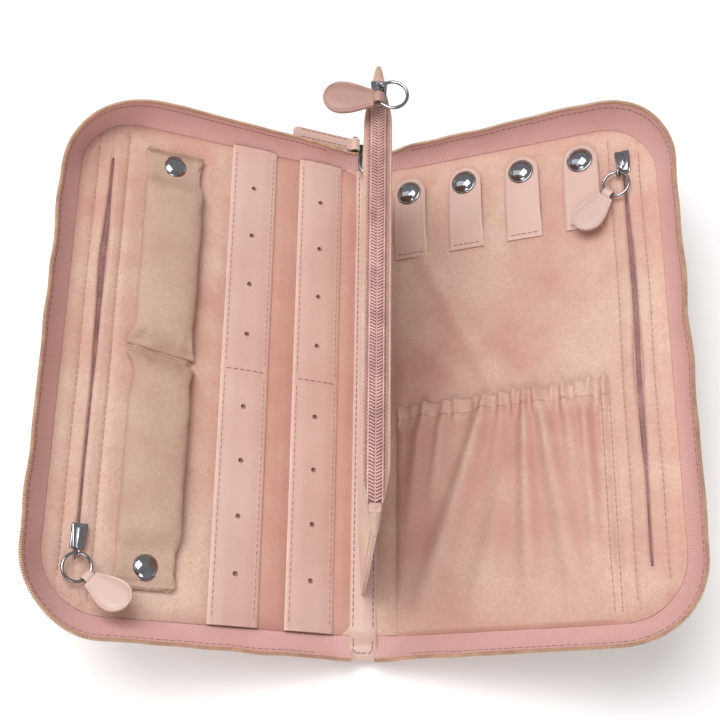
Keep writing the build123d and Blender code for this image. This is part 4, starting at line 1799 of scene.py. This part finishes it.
@dataclass
class NecklaceTab:
    """A leather tab, sewn down at its foot and closed by a snap at its round end."""

    cover: Cover
    finishes: Finishes
    thread: Thread
    number: int
    thick: float = 1.35
    round_steps: int = 12

    def build(self) -> None:
        """Builds the tab, with its snap and stitches."""
        place, body = self.cover.place, f"necklace_tab_{self.number}"
        low, high = extent(place, f"{body}_flap")
        foot = extent(place, "necklace_tab_feet")[0].y
        middle, wide = (low.x + high.x) / 2, (high.x - low.x) / 2
        round_at = high.y - wide
        ys = spaced(foot, round_at, 1.4)
        arc = [math.sin(math.pi / 2 * k / self.round_steps) for k in range(1, self.round_steps + 1)]
        ys += [round_at + wide * v for v in arc]
        turns = mirrored((0, 0.2, 0.4, 0.6, 0.8, 0.87, 0.93, 0.975, 1))

        def half(y: float) -> float:
            """Half the tab's width at y."""
            past = max(0.0, y - round_at)
            taper = 0.35 * smooth(y, foot, round_at)
            return max(0.05, math.sqrt(max(0.0, wide**2 - past**2)) - taper)

        def face(x: float, y: float) -> float:
            """The tab's face over the lining."""
            side = min(half(y) - abs(x), y - foot)
            w = 1.75 + (high.z - 1.7) * smooth(y, foot + 3, foot + 16)
            w += 0.1 * ripple(x + self.number * 30, y, 50, 14) - 0.28 * bump(side, 1.5, 0.35)
            w -= 0.55 * (1 - smooth(side, 0, 1.0))
            w -= 0.35 * bump(y, foot + 2.2, 0.6)
            return w + 0.2 * bump(math.hypot(x, y - high.y + 9), 7.2, 1.2)

        def at(i: int, j: int) -> Point:
            """A point of the tab."""
            x = turns[i] * half(ys[j])
            return middle + x, ys[j], face(x, ys[j])

        obj = grid_piece(f"{body}_leather", [t * wide for t in turns], ys, at)
        modify(obj, "SOLIDIFY", thickness=self.thick, offset=-1)
        soften(outward(obj), 55)
        place.carry(obj)
        finish_piece(obj, self.finishes.leather, None, [f"{body}_flap", "necklace_tab_feet"])
        start, end = place.point(middle, low.y - 3, 2), place.point(middle, low.y + 3, 2)
        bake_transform(obj)
        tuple(start)
        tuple(end)
        Snap().place(f"{body}_snap", f"{body}_cap", place, body, self.finishes)
        row = spaced(-wide + 0.9, wide - 0.9, 1.5)
        path = [place.point(middle + x, foot + 2.2, face(x, foot + 2.2) + 0.1) for x in row]
        self.thread.sew(self.cover.body, path, place.z, 2.7)


@dataclass
class RightCover(Cover):
    """The right cover, with four necklace tabs and the gathered pocket."""

    tabs: int = 4

    def build(self) -> None:
        """Builds the right cover."""
        super().build()
        GatheredPocket(self, self.finishes, self.thread).build()
        for number in range(1, self.tabs + 1):
            NecklaceTab(self, self.finishes, self.thread, number).build()


# ---- sliders, rings and pulls -------------------------------------------------------------------


@dataclass
class LeatherPull:
    """A drop-shaped leather pull, folded round its ring at the root."""

    length: float = 22.5
    end_radius: float = 7.5
    root: float = 8.2
    thick: float = 2.0
    loop_radius: float = 2.5
    loop_bore: float = 1.5
    loop_width: float = 4.6
    steps: int = 26

    def half(self, along: float) -> float:
        """Half the pull's width, along from its root (0) to its round end (1)."""
        start = 2.0
        end = self.length - self.end_radius
        y = start + (self.length - start) * along
        if y > end:
            return math.sqrt(max(0.0, self.end_radius**2 - (y - end) ** 2))
        t = (y - start) / (end - start)
        return self.root / 2 + (self.end_radius - self.root / 2) * math.sin(math.pi / 2 * t) ** 1.25

    def build(self, name: str, lift: float) -> bpy.types.Object:
        """The pull in its hinge's millimetres, hanging along -y.

        Args:
            name: The piece's name.
            lift: How far it is tilted up, in degrees.

        Returns:
            The pull.
        """
        start, points = 2.0, []
        shares = [math.sin(math.pi / 2 * k / self.steps) for k in range(self.steps)] + [0.9995]
        for t in shares:
            y = -(start + (self.length - start) * t)
            side = self.half(t)
            thick = self.thick / 2 * min(1.0, 0.35 + 6.0 * (1 - t))
            points += [(x, y, z) for x, z in self.ring(side, thick)]
        blade = tube_piece(name, points, len(self.ring(1.0)))
        loop = rod("loop", (0, 0, 0), ACROSS, self.loop_radius, self.loop_width, 28)
        cut(loop, [rod("bore", (0, 0, 0), ACROSS, self.loop_bore, 12, 24)])
        modify(loop, "BEVEL", width=0.35, segments=2, limit_method="ANGLE")
        side, flat = self.root / 2, self.thick / 2
        neck = box_piece("neck", (-side, -3.4, -flat), (side, -1.9, flat), 0.5)
        obj = joined(name, [blade, loop, neck])
        obj.data.transform(Matrix.Rotation(-math.radians(lift), 4, "X"))
        return soften(obj, 45)

    def ring(self, side: float, thick: float = 1.0) -> list[tuple[float, float]]:
        """The pull's cross-section: flat faces, a pressed line near each edge and rounded sides."""
        press = min(1.15, side * 0.4)
        top = [
            (side, 0.0), (side - 0.14 * thick, 0.5 * thick), (side - 0.45 * thick, 0.88 * thick),
            (side - press, 0.95 * thick), (side - press - 0.22, 0.78 * thick),
            (side - press - 0.5, 0.97 * thick), (side * 0.35, 1.04 * thick),
        ]
        upper = top + [(-x, z) for x, z in reversed(top)]
        lower = [(x, -z) for x, z in reversed(upper[1:-1])]
        return upper + lower


@dataclass
class SliderSet:
    """A zip slider with its puller, ring and leather pull, from the hinges of the frame."""

    name: str
    up: Vector
    lift: float
    reach: float
    rise: float
    finishes: Finishes
    pull_dress: Dress
    along: Vector
    width: float = 7.2
    length: float = 10.6
    height: float = 2.8
    puller: float = 2.6
    eye: float = 2.2
    bore: float = 1.3
    sink: float = 1.0
    twist: float = 0.0

    def build(self) -> None:
        """Builds the slider and pull, and gives the frame's ring its finish."""
        ring = hinge_place(f"{self.name}_ring_hinge", self.up)
        eye_w = self.height + self.rise
        parts = [self.top_plate(), self.bottom_plate(), self.post()]
        body = joined("slider_body", parts)
        base = Place(ring.x, ring.y, ring.z, ring.point(0, self.reach, -eye_w))
        zip_x = self.along.cross(self.up).normalized()
        zipped = Place(zip_x, self.along, self.up, base.origin)
        zipped.carry(body)
        puller = self.puller_bar(eye_w)
        base.carry(puller)
        slider = joined(f"{self.name}_slider_metal", [body, puller])
        finish_piece(slider, self.finishes.metal, f"{self.name}_slider", [f"{self.name}_slider"])
        dress_node(f"{self.name}_ring", self.finishes.metal)
        pull_place = hinge_place(f"{self.name}_pull_hinge", self.up)
        pull = LeatherPull().build(f"{self.name}_leather_pull", self.lift)
        pull.data.transform(Matrix.Rotation(math.radians(self.twist), 4, "Z"))
        pull_place.carry(pull)
        finish_piece(pull, self.pull_dress, f"{self.name}_pull", [f"{self.name}_pull"])

    def top_plate(self) -> bpy.types.Object:
        """The slider's upper plate: broad shoulders, rounded nose, and its bridge."""
        half = self.width / 2
        plate = box_piece("plate", (-half, -self.length / 2, 1.5), (half, self.length / 2, self.height), 0)
        for v in plate.data.vertices:
            if v.co.y < 0:
                v.co.x *= 0.72
        modify(plate, "BEVEL", width=1.5, segments=4, limit_method="ANGLE", affect="EDGES")
        bridge = box_piece("bridge", (-1.2, -3.4, self.height - 0.4), (1.2, 3.4, self.height + 1.5), 0.55)
        return joined("plate", [soften(plate), soften(bridge)])

    def bottom_plate(self) -> bpy.types.Object:
        """The lower plate, under the coil."""
        half, end = self.width / 2 - 0.4, self.length / 2 - 0.4
        return soften(box_piece("under", (-half, -end, -self.sink), (half, end, 0.3), 0.5))

    def post(self) -> bpy.types.Object:
        """The wedge that joins the plates."""
        return soften(box_piece("post", (-1.4, 0, -0.2), (1.4, self.length / 2 - 0.6, 2.0), 0.4))

    def puller_bar(self, eye_w: float) -> bpy.types.Object:
        """The puller: a bar from the bridge to an eye that holds the ring."""
        half = self.puller / 2
        middle, wire = (self.eye + self.bore) / 2, (self.eye - self.bore) / 2 + 0.25
        eye = torus("eye", (0, -self.reach, eye_w), ACROSS, middle, wire, 24)
        low = min(self.height, eye_w) + 0.1
        bar = box_piece("bar", (-half, -self.reach + 1.6, low), (half, 1.4, low + 1.3), 0.45)
        parts = [eye, soften(bar)]
        if self.rise > 2:
            y = -self.reach
            stem = box_piece("stem", (-half, y - 0.7, self.height), (half, y + 0.9, eye_w - 1.5), 0.4)
            parts.append(soften(stem))
        return joined("puller", parts)


# ---- spine --------------------------------------------------------------------------------------


@dataclass
class Spine:
    """The back of the case, the strip over the pouch seam, the zip's two ends and its slider."""

    finishes: Finishes
    thread: Thread
    panel_half: float = 9.0
    pull_length: float = 34.0
    pull_half: float = 3.3

    def __post_init__(self) -> None:
        """The spine is drawn in the object's own frame."""
        self.place = Place(ACROSS, ALONG, UP, Vector((0, 0, 0)))

    def build(self) -> None:
        """Builds the spine's pieces."""
        self.build_back()
        self.build_strip()
        self.build_end_tab()
        self.build_start_tape()
        self.build_main_slider()

    def build_back(self) -> None:
        """The leather panel down the back, sewn along both edges."""
        low, high = extent(self.place, "spine_leather")
        half = self.panel_half
        strip = LeatherStrip(Vector((-half, low.y, 0)), Vector((half, high.y, 0.95)), thick=0.9)
        obj = strip.build("spine_back_leather", self.place)
        turned = Matrix.Translation((0, 0, 1.5 * MM)) @ Matrix.Diagonal((1, 1, -1, 1))
        obj.data.transform(turned)
        flip(obj)
        finish_piece(obj, self.finishes.leather, "spine", ["spine_leather"])
        for way in (-1, 1):
            ys = spaced(low.y + 3, high.y - 3, 5)
            path = [self.place.point(way * (self.panel_half - 1.9), y, 0.3) for y in ys]
            self.thread.sew("spine", path, -self.place.z, 3.4)
        for y, end in ((low.y, "near"), (high.y, "far")):
            cap = box_piece(f"spine_end_{end}", (-12.3, y - 0.9, 0.5), (12.3, y + 0.9, 5.0), 0.8)
            finish_piece(soften(self.place.carry(cap)), self.finishes.leather, "spine")

    def build_strip(self) -> None:
        """The leather strip on the inside, over the pouch's seam."""
        low, high = extent(self.place, "spine_strip")
        strip = LeatherStrip(low, high, seam_in=1.5, columns=16)
        obj = strip.build("spine_strip_leather", self.place)
        finish_piece(obj, self.finishes.leather, "spine", ["spine_strip"])
        strip.sew(self.thread, "spine", self.place)

    def build_end_tab(self) -> None:
        """The leather tab folded over the zip's near end, sewn in a U."""
        low, high = extent(self.place, "zip_end_tab")
        wide, y0, y1 = high.x, low.y, high.y + 1.2
        us, ys = spaced(-wide, wide, 0.7), spaced(y0 - 0.4, y1, 0.7)

        def face(u: float, y: float) -> float:
            """The tab's face: over the tape's edge and down at its end."""
            side = min(wide - abs(u), y - y0 + 0.4)
            arch = 4.6 * bump(y, (y0 + y1) / 2 - 1.5, 5.2)
            groove = 0.3 * bump(min(wide - 2 - abs(u), y - y0 - 2.6), 0.0, 0.4)
            return high.z + 1.0 + arch - 0.8 * (1 - smooth(side, 0, 1.1)) - groove

        obj = grid_piece("zip_end_tab_leather", us, ys, lambda i, j: (us[i], ys[j], face(us[i], ys[j])))
        thicken(obj, 1.3, 55)
        finish_piece(self.place.carry(obj), self.finishes.leather, "spine", ["zip_end_tab"])
        x, y = wide - 2.0, y0 + 2.6
        corners = [(-x, y1 - 1.5), (-x, y + 1.2), (-x + 1.2, y), (x - 1.2, y), (x, y + 1.2), (x, y1 - 1.5)]
        path = []
        for (ax, ay), (bx, by) in zip(corners, corners[1:]):
            for k in range(5):
                px, py = ax + (bx - ax) * k / 5, ay + (by - ay) * k / 5
                path.append(self.place.point(px, py, face(px, py) + 0.12))
        self.thread.sew("spine", path, self.place.z, 2.6)

    def build_start_tape(self) -> None:
        """The tape under the zip's far end."""
        low, high = extent(self.place, "zip_start_tape")
        us, ys = spaced(low.x + 1, high.x - 1, 1.2), spaced(low.y - 0.5, high.y - 0.6, 1.0)

        def at(i: int, j: int) -> Point:
            """A point of the tape."""
            sag = 1.6 * abs(us[i] / high.x) ** 2
            return us[i], ys[j], high.z - 0.5 + sag + 0.25 * ripple(us[i], ys[j], 60, 7)

        obj = grid_piece("zip_start_cloth", us, ys, at)
        thicken(obj, 0.8)
        finish_piece(self.place.carry(obj), self.finishes.tape, "spine", ["zip_start_tape"])

    def oval(self, name: str, low: Point, high: Point, round_by: float) -> bpy.types.Object:
        """An oval plate inside a box, narrower at its near end, with its edges rounded."""
        middle = [(a + b) / 2 for a, b in zip(low, high)]
        plate = rod(name, tuple(middle), UP, 1.0, high[2] - low[2], 40)
        for v in plate.data.vertices:
            along_it = v.co.y - middle[1]
            v.co.x = middle[0] + (v.co.x - middle[0]) * (high[0] - low[0]) / 2 * (1 + 0.12 * along_it)
            v.co.y = middle[1] + along_it * (high[1] - low[1]) / 2
        modify(plate, "BEVEL", width=round_by, segments=4, limit_method="ANGLE")
        return soften(plate, 50)

    def build_main_slider(self) -> None:
        """The main zip's slider, a dark shield, and its leather pull."""
        low, high = extent(self.place, "main_slider")
        x, y = (low.x + high.x) / 2, (low.y + high.y) / 2
        side, end, top = high.x, low.y, high.z
        rim = self.oval(
            "main_slider_rim", (side - 5.2, end - 12.5, top - 1.8), (side + 4.2, end + 1.2, top + 0.4), 0.9
        )
        finish_piece(self.place.carry(rim), self.finishes.metal, "spine")
        shield = self.oval(
            "shield", (side - 4.3, end - 11.6, top - 1.4), (side + 3.3, end + 0.3, top + 0.9), 0.7
        )
        under = box_piece(
            "under", (low.x + 0.6, end + 0.5, low.z), (side - 0.6, high.y - 0.5, low.z + 1.2), 0.5
        )
        post = box_piece("post", (x + 0.4, y - 8, low.z + 0.4), (x + 3.6, y - 2, high.z - 1.0), 0.4)
        hinge = joint("main_pull_hinge")
        at_pin = Vector(hinge["pos_m"]) / MM
        pin = rod("pin", tuple(at_pin), ALONG, 1.1, high.y - low.y - 0.4, 20)
        foot, crown = low.z + 3.6, at_pin.z + 1.1
        ears = [
            box_piece("ear", (at_pin.x - 1.2, e - 0.6, foot), (at_pin.x + 1.2, e + 0.6, crown), 0.5)
            for e in (y - 4.3, y + 4.3)
        ]
        slider = joined("main_slider_metal", [shield, soften(under), soften(post), soften(pin)] + ears)
        finish_piece(self.place.carry(slider), self.finishes.dark_metal, "spine", ["main_slider"])

        lift = math.radians(min(abs(v) for v in joint("left_cover_hinge")["range_deg"]))
        out = Vector((-math.cos(lift), 0, math.sin(lift)))
        normal = Vector((math.sin(lift), 0, math.cos(lift)))
        place = Place(Vector((0, -1, 0)), out, normal, Vector(hinge["pos_m"]))
        half, reach = self.pull_half, self.pull_length
        us = [v * half for v in mirrored((0, 0.4, 0.66, 0.8, 0.93, 1))]
        arc = [math.sin(math.pi / 2 * k / 8) for k in range(1, 9)]
        ys = spaced(1.6, reach - half, 1.2) + [reach - half + half * v for v in arc]

        def at(i: int, j: int) -> Point:
            """A point of the strap."""
            past = max(0.0, ys[j] - (reach - half))
            side = math.sqrt(max(0.002, half**2 - past**2))
            u = us[i] / half * side
            inside = side - abs(u)
            return u, ys[j], 1.0 - 0.45 * (1 - smooth(inside, 0, 0.9)) - 0.2 * bump(inside, 1.2, 0.3)

        strap = grid_piece("strap", us, ys, at)
        modify(strap, "SOLIDIFY", thickness=1.9, offset=-1)
        outward(strap)
        loop = rod("loop", (0, 0, 0), ACROSS, 2.5, 2 * half, 28)
        cut(loop, [rod("bore", (0, 0, 0), ACROSS, 1.5, 12, 24)])
        pull = place.carry(joined("main_pull_leather", [soften(strap, 50), soften(loop, 50)]))
        finish_piece(pull, self.finishes.leather, "main_pull", ["main_pull"])
        for way in (-1, 1):
            path = [place.point(way * (half - 1.2), v, 0.95) for v in spaced(3.5, reach - 3, 3)]
            self.thread.sew("main_pull", path, place.z, 2.8)


# ---- divider pouch ------------------------------------------------------------------------------


@dataclass
class Divider:
    """The zip pouch that stands on the spine: two suede panels closed by a zip along the top."""

    finishes: Finishes
    thread: Thread
    hem: float = 4.0
    cloth: float = 0.8
    tape_half: float = 4.6

    def __post_init__(self) -> None:
        """Works out the pouch's lean and size from the frame."""
        foot = Vector(joint("divider_hinge")["pos_m"])
        low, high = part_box("divider_zip_tape")
        self.lean = math.atan2((low.x + high.x) / 2 - foot.x, (low.z + high.z) / 2 - foot.z)
        across = Vector((math.cos(self.lean), 0, -math.sin(self.lean)))
        up = Vector((math.sin(self.lean), 0, math.cos(self.lean)))
        self.place = Place(across, ALONG, up, foot)
        _, panel = extent(self.place, "divider_right_panel")
        self.end, self.top, self.half = panel.y, panel.z, panel.x

    def width(self, y: float, z: float) -> float:
        """Half the pouch's thickness: full in the middle of the top, closed at its foot and ends."""
        taper = smooth(self.end - abs(y), -1, 27)
        rise = 0.27 + 0.73 * (z / self.top) ** 0.9
        return self.cloth + (self.half + 0.4 - self.cloth) * taper * rise

    def panel(self, name: str, node: str, way: int) -> None:
        """One side of the pouch.

        Args:
            name: The piece's name.
            node: The frame's panel.
            way: 1 for the right panel, -1 for the left.
        """
        ys, zs = spaced(-self.end, self.end, 1.9), spaced(1.0, self.top, 1.9)

        def at(i: int, j: int) -> Point:
            """A point of the panel."""
            y, z = ys[i], zs[j]
            side, under = self.end - abs(y), self.top - z
            x = self.width(y, max(0.0, z))
            x += 0.55 * ripple(y, z, 70.0 + way, 26) * smooth(side, 2, 14) * smooth(under, 1, 10)
            x += 0.3 * ripple(y, z, 74.0 + way, 11) * smooth(side, 2, 8) * smooth(under, 3, 9)
            x -= 0.45 * bump(under, self.hem, 0.9) + 0.5 * bump(side, 4.0, 0.9)
            x -= 0.5 * (1 - smooth(under, 0, 1.4))
            droop = 0.8 * smooth(abs(y), self.end - 14, self.end)
            return way * max(self.cloth + 0.02, x), y, z - droop * z / self.top

        obj = grid_piece(name, ys, zs, at)
        if way < 0:
            flip(obj)
        thicken(obj, self.cloth, 65)
        finish_piece(self.place.carry(obj), self.finishes.suede, "divider", [node])
        line = spaced(-self.end + 5, self.end - 5, 3)
        seam = self.top - self.hem
        path = [self.place.point(way * (self.width(y, seam) - 0.25), y, seam) for y in line]
        self.thread.sew("divider", path, self.place.x * way, 3.0, True)
        for end in (-1, 1):
            line = spaced(3, self.top - 6, 3)
            y = end * (self.end - 4)
            path = [self.place.point(way * (self.width(y, z) - 0.25), y, z) for z in line]
            self.thread.sew("divider", path, self.place.x * way, 3.2, True)

    def build(self) -> None:
        """Builds the pouch."""
        self.panel("divider_left_suede", "divider_left_panel", -1)
        self.panel("divider_right_suede", "divider_right_panel", 1)
        self.build_foot()
        self.build_tips()
        self.build_tape()
        self.build_coil()

    def build_tips(self, length: float = 10.5, wide: float = 2.9, sides: int = 20, steps: int = 12) -> None:
        """The soft points past the zip's ends, where the tape is rolled into the cloth."""
        for way, end in ((-1, "near"), (1, "far")):
            points = []
            for k in range(steps + 1):
                t = k / steps
                r = wide * (1 - 0.62 * t) * math.sqrt(max(0.0, 1 - t**8)) + 0.05
                y = way * (self.end - length + (length + 0.8) * t)
                turn = [2 * math.pi * n / sides for n in range(sides)]
                points += [(r * math.cos(a), y, self.top + 0.2 - 1.6 * t + r * math.sin(a)) for a in turn]
            tip = soften(tube_piece(f"divider_{end}_tip", points, sides), 60)
            finish_piece(self.place.carry(tip), self.finishes.roll, "divider")

    def build_foot(self) -> None:
        """The bound foot, which is sewn to the spine."""
        foot = box_piece("divider_bound_foot", (-1.3, -self.end, -1.3), (1.3, self.end, 2.6), 0.9)
        modify(foot, "SUBSURF", levels=1, render_levels=1, subdivision_type="SIMPLE")
        soften(foot, 50)
        finish_piece(self.place.carry(foot), self.finishes.suede, "divider", ["divider_foot"])

    def tape_width(self, y: float) -> float:
        """Half the tape's width at y."""
        return max(0.7, min(self.tape_half, self.width(y, self.top) - 0.55))

    def build_tape(self) -> None:
        """The woven tape between the panels' edges, sunk a little at the coil."""
        shares = mirrored((0, 0.2, 0.42, 0.6, 0.85, 1))
        ys = spaced(-self.end + 7.5, self.end - 7.5, 1.6)

        def at(i: int, j: int) -> Point:
            """A point of the tape."""
            side = self.tape_width(ys[j])
            z = self.top + 0.55 + 0.35 * (1 - abs(shares[i])) + 0.12 * ripple(shares[i] * 4, ys[j], 80, 9)
            return shares[i] * side, ys[j], z - 0.8 * smooth(abs(ys[j]), self.end - 14, self.end)

        obj = grid_piece("divider_tape", [s * self.tape_half for s in shares], ys, at)
        thicken(obj, 0.7)
        finish_piece(self.place.carry(obj), self.finishes.pale_tape, "divider", ["divider_zip_tape"])
        for way in (-1, 1):
            line = spaced(-self.end + 12, self.end - 12, 3)
            path = [self.place.point(way * (self.tape_width(y) - 0.6), y, self.top + 0.8) for y in line]
            self.thread.sew("divider", path, self.place.z, 2.4, True)

    def build_coil(self) -> None:
        """The closed coil: two rows of links that lean into each other, and a stop at each end."""
        low, high = extent(self.place, "divider_zip_coil")
        for way, name in ((-1, "left"), (1, "right")):
            unit = link((0.42, 1.35, 0.5), 0.26, way * 0.55)
            line = spaced(low.y, high.y, 2)
            path = [self.place.point(way * 1.3, y, high.z - 0.55) for y in line]
            row = copies(f"divider_coil_{name}", unit, along(path, self.place.z, 1.35 * MM))
            nodes = ["divider_zip_coil"] if way > 0 else []
            finish_piece(row, self.finishes.pale_coil, "divider", nodes)
        cords = []
        for x in (-2.75, 0.0, 2.75):
            cord = rod("cord", (x, 0, high.z - 0.85), ALONG, 0.42, high.y - low.y, 8)
            cords.append(soften(cord, 60))
        cord = joined("divider_coil_cords", cords)
        finish_piece(self.place.carry(cord), self.finishes.pale_coil, "divider")
        stops = [
            soften(box_piece("stop", (-2.3, y - 1.9, high.z - 1.3), (2.3, y + 1.9, high.z - 0.1), 0.55))
            for y in (-high.y - 2.0, high.y + 2.0)
        ]
        stop = joined("divider_stops", stops)
        finish_piece(self.place.carry(stop), self.finishes.pale_coil, "divider", ["divider_zip_stops"])


# ---- room ---------------------------------------------------------------------------------------


@dataclass
class Studio:
    """The camera, the pale floor and soft light."""

    at: Point = (-0.0026, -0.2069, 0.575)
    down: float = 68.8
    turn: float = -0.1
    roll: float = 0.7
    lens: float = 63.0

    def build(self) -> None:
        """Builds the room."""
        self.camera()
        deselect()
        bpy.ops.mesh.primitive_plane_add(size=6, location=(0, 0, 0))
        floor = bpy.context.active_object
        floor.name = "floor"
        floor.data.materials.append(self.floor_material())
        floor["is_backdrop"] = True
        self.light("key_light", (-0.22, 0.2, 1.2), 0.7, 11.5)
        self.light("fill_light", (-0.9, 0.2, 0.8), 0.9, 2.6)
        self.light("front_light", (-0.1, -0.95, 0.8), 0.6, 4.0)
        world = bpy.data.worlds.new("studio_air")
        world.use_nodes = True
        air = world.node_tree.nodes["Background"]
        Sketch(world.node_tree).fill(air, {"Color": (1.0, 0.99, 0.98, 1), "Strength": 0.42})
        bpy.context.scene.world = world
        bpy.context.scene.view_settings.view_transform = "Standard"

    def camera(self) -> None:
        """The camera, looking down on the open case."""
        pitch, yaw, roll = (math.radians(a) for a in (self.down, self.turn, self.roll))
        ahead = Vector((math.sin(yaw) * math.cos(pitch), math.cos(yaw) * math.cos(pitch), -math.sin(pitch)))
        right = Vector((math.cos(yaw), -math.sin(yaw), 0))
        up = right.cross(ahead)
        x = right * math.cos(roll) + up * math.sin(roll)
        y = up * math.cos(roll) - right * math.sin(roll)
        data = bpy.data.cameras.new("camera")
        data.lens, data.sensor_width = self.lens, 36.0
        camera = bpy.data.objects.new("camera", data)
        camera.matrix_world = Matrix.Translation(self.at) @ Matrix((x, y, -ahead)).transposed().to_4x4()
        bpy.context.scene.collection.objects.link(camera)
        bpy.context.scene.camera = camera

    def light(self, name: str, at: Point, size: float, power: float) -> None:
        """A square soft light aimed at the case.

        Args:
            name: The light's name.
            at: Where it is.
            size: Its side.
            power: Its power in watts.
        """
        data = bpy.data.lights.new(name, "AREA")
        data.size, data.energy = size, power
        lamp = bpy.data.objects.new(name, data)
        lamp.location = at
        lamp.rotation_euler = (-Vector(at)).to_track_quat("-Z", "Y").to_euler()
        bpy.context.scene.collection.objects.link(lamp)

    def floor_material(self) -> bpy.types.Material:
        """A plain pale matt floor with a faint unevenness."""
        material = bpy.data.materials.new("pale_floor")
        material.use_nodes = True
        sketch = Sketch(material.node_tree)
        shader = material.node_tree.nodes["Principled BSDF"]
        place = sketch.add("ShaderNodeTexCoord").outputs["Object"]
        cloud = sketch.spread(sketch.noise(place, 3.0, 2.0), 0.3, 0.7)
        tone = sketch.mix(cloud, (0.95, 0.95, 0.945, 1), (0.97, 0.97, 0.965, 1))
        sketch.fill(shader, {"Base Color": tone, "Roughness": 0.9})
        return material


def dress_hidden(finishes: Finishes) -> None:
    """Gives the pieces inside the covers and the spine their finishes."""
    for side in ("left", "right"):
        dress_node(f"{side}_cover_board", finishes.board)
        dress_node(f"{side}_cover_foam", finishes.foam)
        dress_node(f"{side}_pocket_bag", finishes.bag)
    dress_node("spine_board", finishes.board)
    dress_node("spine_lining", finishes.suede)
    dress_node("ring_roll_sockets", finishes.metal)
    dress_node("necklace_tab_sockets", finishes.metal)


def pressed_under(place: Place, nodes: Sequence[str], level: float) -> list[Press]:
    """The parts of a lining that something sewn on presses flat.

    Args:
        place: The cover's frame.
        nodes: The frame's nodes that lie on the lining.
        level: The height that the lining is pressed to.

    Returns:
        For each, its least and greatest u and y, and the height.
    """
    corners = [extent(place, name) for name in nodes]
    return [(low.x, high.x, low.y, high.y, level) for low, high in corners]


def slit_of(place: CoverPlace, gapes: tuple[tuple[float, float, float], ...], sway: float) -> PocketSlit:
    """A cover's pocket slit, over the frame's zip, with the places where it gapes and its sway."""
    low, high = extent(place, f"{place.side.name.lower()}_pocket_zip")
    return PocketSlit((low.x + high.x) / 2, high.y, gapes, sway=sway)


def build_covers(finishes: Finishes, thread: Thread) -> tuple[LeftCover, RightCover]:
    """Builds both covers.

    Args:
        finishes: The case's finishes.
        thread: Its stitching.

    Returns:
        The left and the right cover.
    """
    left, right = cover_place(Side.LEFT), cover_place(Side.RIGHT)
    left_slit = slit_of(left, ((44, 2.6, 22), (5, 0.7, 14)), 0.8)
    right_slit = slit_of(right, ((-6, 3.0, 22), (42, 1.5, 30), (-40, 0.8, 12)), 1.4)
    strips = pressed_under(left, ("earring_strip_inner", "earring_strip_outer"), -0.05)
    roll = pressed_under(left, ("ring_roll_far_pad", "ring_roll_near_pad"), 0.05)
    pocket = pressed_under(right, ("gathered_pocket",), -0.1)
    tabs = [(u - 8.5, u + 8.5, 66.5, 110.0, 0.0) for u in tab_middles(right)]
    left_cover = LeftCover(left, finishes, thread, left_slit, 47.0, 1.0, tuple(strips + roll))
    creases = (
        (16, 66, 48, -2, 1.2, 4.0), (34, 44, 66, 6, 1.0, 5.0), (12, 22, 40, -6, 0.9, 4.0),
        (70, 60, 96, 30, 0.7, 6.0),
    )
    right_cover = RightCover(
        right, finishes, thread, right_slit, 37.0, 2.0, tuple(pocket + tabs), creases=creases
    )
    left_cover.build()
    right_cover.build()
    return left_cover, right_cover


def tab_middles(place: Place) -> list[float]:
    """The middle of each necklace tab, counted out from the hinge."""
    corners = [extent(place, f"necklace_tab_{n}_flap") for n in range(1, 5)]
    return [(low.x + high.x) / 2 for low, high in corners]


def main() -> None:
    """Builds the case around its frame."""
    Studio().build()
    finishes = Finishes()
    thread = Thread(finishes)
    left, right = build_covers(finishes, thread)
    Spine(finishes, thread).build()
    divider = Divider(finishes, thread)
    divider.build()
    SliderSet("left_pocket", left.place.z, 30, 7.5, 0.8, finishes, finishes.pull, ALONG).build()
    SliderSet("right_pocket", right.place.z, 10, 6.5, 0.8, finishes, finishes.pull, ALONG).build()
    # The divider's pull wears the darker leather, which is painted shade.
    SliderSet(
        "divider", divider.place.z, 0, 0.8, 4.6, finishes, finishes.shaded_pull, ALONG, sink=0.2, twist=-18
    ).build()
    thread.finish()
    dress_hidden(finishes)
    low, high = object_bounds()
    for k, axis in enumerate("xyz"):
        ends = [corner[k] / MM for corner in (low, high, *CAD_BOX)]
        LOG.info("%s: %.1f to %.1f mm, frame %.1f to %.1f", axis, *ends)


if __name__ == "__main__":
    logging.basicConfig(level=logging.INFO, format="%(message)s")
    main()
